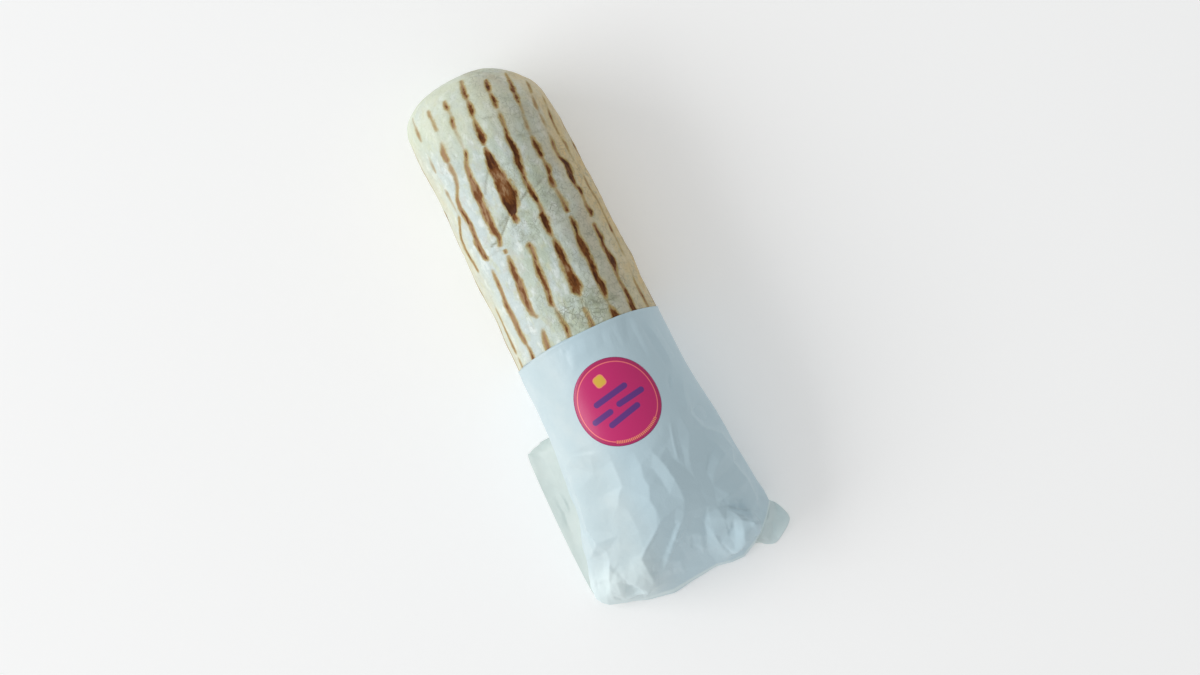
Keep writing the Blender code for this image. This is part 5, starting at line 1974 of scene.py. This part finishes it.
    def build_tail(self, finish: bpy.types.Material) -> bpy.types.Object:
        """Make the folded tail.

        Args:
            finish: Its material.

        Returns:
            The piece.
        """
        outline = self.outline()
        centre = np.array(self.tail_centre) * MM
        scales = np.concatenate([np.linspace(1.0, self.tail_rim, 26), np.linspace(0.79, 0.0, 30)])
        plan = centre + (outline - centre) * scales[:, None, None]
        x, y = plan[..., 0], plan[..., 1]
        rise = np.maximum(y - self.ear_start, 0.0) * self.ear_slope
        inner = 1.0 - scales[:, None] ** 14
        level = self.tail_edge + (self.tail_thickness - self.tail_edge) * inner
        lift = self.tail_lift * np.maximum(SoftNoise(20).at(flat_points(x, y), 0.016), 0.0)
        lift = lift * smooth(self.tail_rim, 1.0, scales)[:, None]
        side = self.form.stations.value(1, x)
        near = np.clip((y + 0.0450) / (side + 0.0480), 0.0, 1.0) * (y < 0.0)
        drape = 0.42 * self.form.stations.value(4, x) * near**2.4 * smooth(0.0355, 0.0400, x)
        level = level + drape * (1.0 - smooth(0.094, 0.106, x))
        past = (x - 0.097) * 0.64 + (y - 0.039) * 0.768
        hang = self.ear_drape * np.clip(1.0 - past / 0.006, 0.0, 1.0) ** 2
        level = level + hang * (y > 0.020) * smooth(0.093, 0.099, x)
        loosened = 0.25 + 0.75 * smooth(0.0, 0.03, 1.0 - scales)[:, None]
        top = rise + level + lift + self.tail_relief(x, y) * loosened
        top = np.maximum(top, rise + 0.00020)
        upper = np.stack([x, y, top], axis=-1)
        under = np.array((0.0, 0.3, 0.6, 0.84, 0.94, 1.0))
        below = centre + (outline - centre) * under[:, None, None]
        base = np.maximum(below[..., 1] - self.ear_start, 0.0) * self.ear_slope
        base = base + lift[0] * smooth(0.84, 1.0, under)[:, None]
        lower = np.stack([below[..., 0], below[..., 1], base], axis=-1)
        rings = np.concatenate([lower, upper])
        # painted light: the ear is painted paler, lifting it out of the body's shadow; the tail gets no
        # painted shade
        ear = smooth(0.024, 0.032, rings[..., 1]) * smooth(0.090, 0.100, rings[..., 0])
        fields = {"painted_light_share": ear, "painted_shade_blue": 0.0 * ear}
        mesh = ring_mesh("paper_tail_skin", rings, Closing.POLE, fields)
        return add_piece("paper_bag_tail", mesh, finish, "paper_bag")


# --- label ---


@dataclass
class RoundLabel:
    """The round label, a thin disc bent over the paper."""

    bag: BagForm
    x: float = 0.0333
    y: float = -0.00075
    radius: float = 0.01848
    bend_radius: float = 0.0325
    lift: float = 0.00004
    thickness: float = 0.00012
    sides: int = 160
    rings: int = 38

    def on_paper(self, x: Array, theta: Array, height: float | Array) -> Array:
        """Points over the bag's plain outside.

        Args:
            x: X of the points.
            theta: Angles of the points.
            height: How far they stand off it.

        Returns:
            The points.
        """
        step = 1e-4
        here = self.bag.section(x, theta)
        along = self.bag.section(x + step, theta) - here
        around = self.bag.section(x, theta + step) - here
        normal = np.cross(along, around)
        normal /= np.linalg.norm(normal, axis=-1, keepdims=True)
        return here + normal * np.asarray(height)[..., None]

    def build(self, finish: bpy.types.Material) -> bpy.types.Object:
        """Make the label.

        Args:
            finish: Its material.

        Returns:
            The piece.
        """
        turn = np.arange(self.sides) * 2.0 * math.pi / self.sides
        reach = np.linspace(0.0, 1.0, self.rings)[:, None] * self.radius
        round_off = np.concatenate([reach, reach[-2::-1]])
        below = np.full(self.rings, self.lift)
        above = np.full(self.rings - 1, self.lift + self.thickness)
        height = np.concatenate([below, above])
        u, v = round_off * np.cos(turn), round_off * np.sin(turn)
        grid = self.on_paper(self.x + u, (self.y + v) / self.bend_radius, height[:, None] + 0.0 * u)
        values = {"label_u": u / MM, "label_v": v / MM}
        mesh = ring_mesh("round_label_skin", grid, Closing.POLE, values)
        return add_piece("round_label", mesh, finish, "round_sticker")


# --- studio ---


@dataclass(frozen=True)
class SoftBox:
    """A flat area light: direction from the object, distance, width, height and power."""

    name: str
    toward: tuple[float, float, float]
    distance: float
    width: float
    height: float
    power: float
    colour: Colour = (1.0, 1.0, 1.0)

    def build(self, aim: Vector) -> None:
        """Place the light.

        Args:
            aim: Where it shines.
        """
        data = bpy.data.lights.new(self.name, "AREA")
        data.shape = "RECTANGLE"
        data.size = self.width
        data.size_y = self.height
        data.energy = self.power
        data.color = self.colour
        light = bpy.data.objects.new(self.name, data)
        direction = Vector(self.toward).normalized()
        light.location = aim + direction * self.distance
        light.rotation_mode = "QUATERNION"
        light.rotation_quaternion = direction.to_track_quat("Z", "Y")
        bpy.context.scene.collection.objects.link(light)


@dataclass
class Studio:
    """Pale floor, soft light from the left of the picture, and the camera above the wrap."""

    turn: float = math.radians(25.5)
    picture_centre: tuple[float, float, float] = (0.0068, 0.0051, 0.0250)
    lean: float = math.radians(0.2)
    distance: float = 2.800
    lens: float = 203.0
    sensor: float = 36.0
    floor_size: float = 8.0
    floor_drop: float = 0.0002
    floor_colour: Colour = (0.93, 0.93, 0.93)
    floor_glow: float = 0.17
    world_colour: Colour = (0.99, 1.0, 1.0)
    world_strength: float = 0.56
    world_lean: float = 0.26
    key_height: float = math.radians(30.5)
    key_turn: float = math.radians(-8.0)

    def picture_axes(self) -> tuple[Vector, Vector]:
        """Directions on the table.

        Returns:
            The ones that point right and up in the picture.
        """
        right = Vector((math.sin(self.turn), math.cos(self.turn), 0.0))
        up = Vector((-math.cos(self.turn), math.sin(self.turn), 0.0))
        return right, up

    def build_camera(self) -> None:
        """Place the camera and make it the scene's own."""
        right, up = self.picture_axes()
        aim = Vector(self.picture_centre)
        back = (Vector((0.0, 0.0, 1.0)) * math.cos(self.lean) - up * math.sin(self.lean)).normalized()
        data = bpy.data.cameras.new("picture_camera")
        data.lens = self.lens
        data.sensor_width = self.sensor
        data.clip_start, data.clip_end = 0.05, 60.0
        camera = bpy.data.objects.new("picture_camera", data)
        camera.matrix_world = Matrix.Translation(aim + back * self.distance) @ Matrix(
            (right, back.cross(right), back)
        ).transposed().to_4x4()
        bpy.context.scene.collection.objects.link(camera)
        bpy.context.scene.camera = camera

    def build_floor(self) -> None:
        """Lay the plain pale floor."""
        half = self.floor_size / 2.0
        corners = [(-half, -half), (half, -half), (half, half), (-half, half)]
        mesh = bpy.data.meshes.new("plain_floor")
        mesh.from_pydata([(x, y, -self.floor_drop) for x, y in corners], [], [(0, 1, 2, 3)])
        made, _, shader = new_material("pale_floor")
        shader.inputs["Base Color"].default_value = (*self.floor_colour, 1.0)
        shader.inputs["Roughness"].default_value = 0.9
        shader.inputs["Specular IOR Level"].default_value = 0.1
        shader.inputs["Emission Color"].default_value = (1.0, 1.0, 1.0, 1.0)
        shader.inputs["Emission Strength"].default_value = self.floor_glow
        mesh.materials.append(made)
        floor = bpy.data.objects.new("plain_floor", mesh)
        bpy.context.scene.collection.objects.link(floor)

    def build_lights(self) -> None:
        """Hang the key light low at the picture's left."""
        right, up = self.picture_axes()
        aim = Vector((0.0, 0.0, 0.02))
        left = -right * math.cos(self.key_turn) + up * math.sin(self.key_turn)
        low = left * math.cos(self.key_height) + Vector((0.0, 0.0, math.sin(self.key_height)))
        SoftBox("key_softbox", tuple(low), 3.0, 2.6, 1.5, 42.0).build(aim)

    def build_world(self) -> None:
        """Set the light of the room, a little weaker towards the picture's right."""
        world = bpy.data.worlds.new("studio_world")
        world.use_nodes = True
        sheet = NodeSheet(world.node_tree)
        background = world.node_tree.nodes["Background"]
        background.inputs["Color"].default_value = (*self.world_colour, 1.0)
        toward = sheet.add("ShaderNodeTexCoord").outputs["Generated"]
        right, _ = self.picture_axes()
        facing = sheet.vector("DOT_PRODUCT", toward, tuple(right)).outputs["Value"]
        share = sheet.scaled(facing, -self.world_lean * self.world_strength, self.world_strength)
        sheet.feed(background.inputs["Strength"], share)
        bpy.context.scene.world = world

    def build(self) -> None:
        """Make the whole studio."""
        bpy.context.scene.view_settings.view_transform = "Standard"
        self.build_world()
        self.build_floor()
        self.build_lights()
        self.build_camera()


# --- assembly ---


def main() -> None:
    """Load the frame, and build every piece and the studio."""
    logging.basicConfig(level=logging.INFO, format="%(name)s: %(message)s")
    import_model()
    groups = SharedGroups()
    roll = RollForm()
    bag_form = BagForm(roll)
    FlatbreadRoll(roll, bag_form).build(BreadFinish().build(groups))
    bag = PaperBag(bag_form, roll)
    bag.build_body(PaperFinish().build(groups))
    tail_paper = PaperFinish("folded_paper", base=(0.605, 0.695, 0.672), cloudy=(0.655, 0.735, 0.705))
    bag.build_tail(tail_paper.build(groups))
    RoundLabel(bag_form).build(LabelFinish().build(groups))
    Studio().build()
    LOG.info("studio ready")


if __name__ == "__main__":
    main()
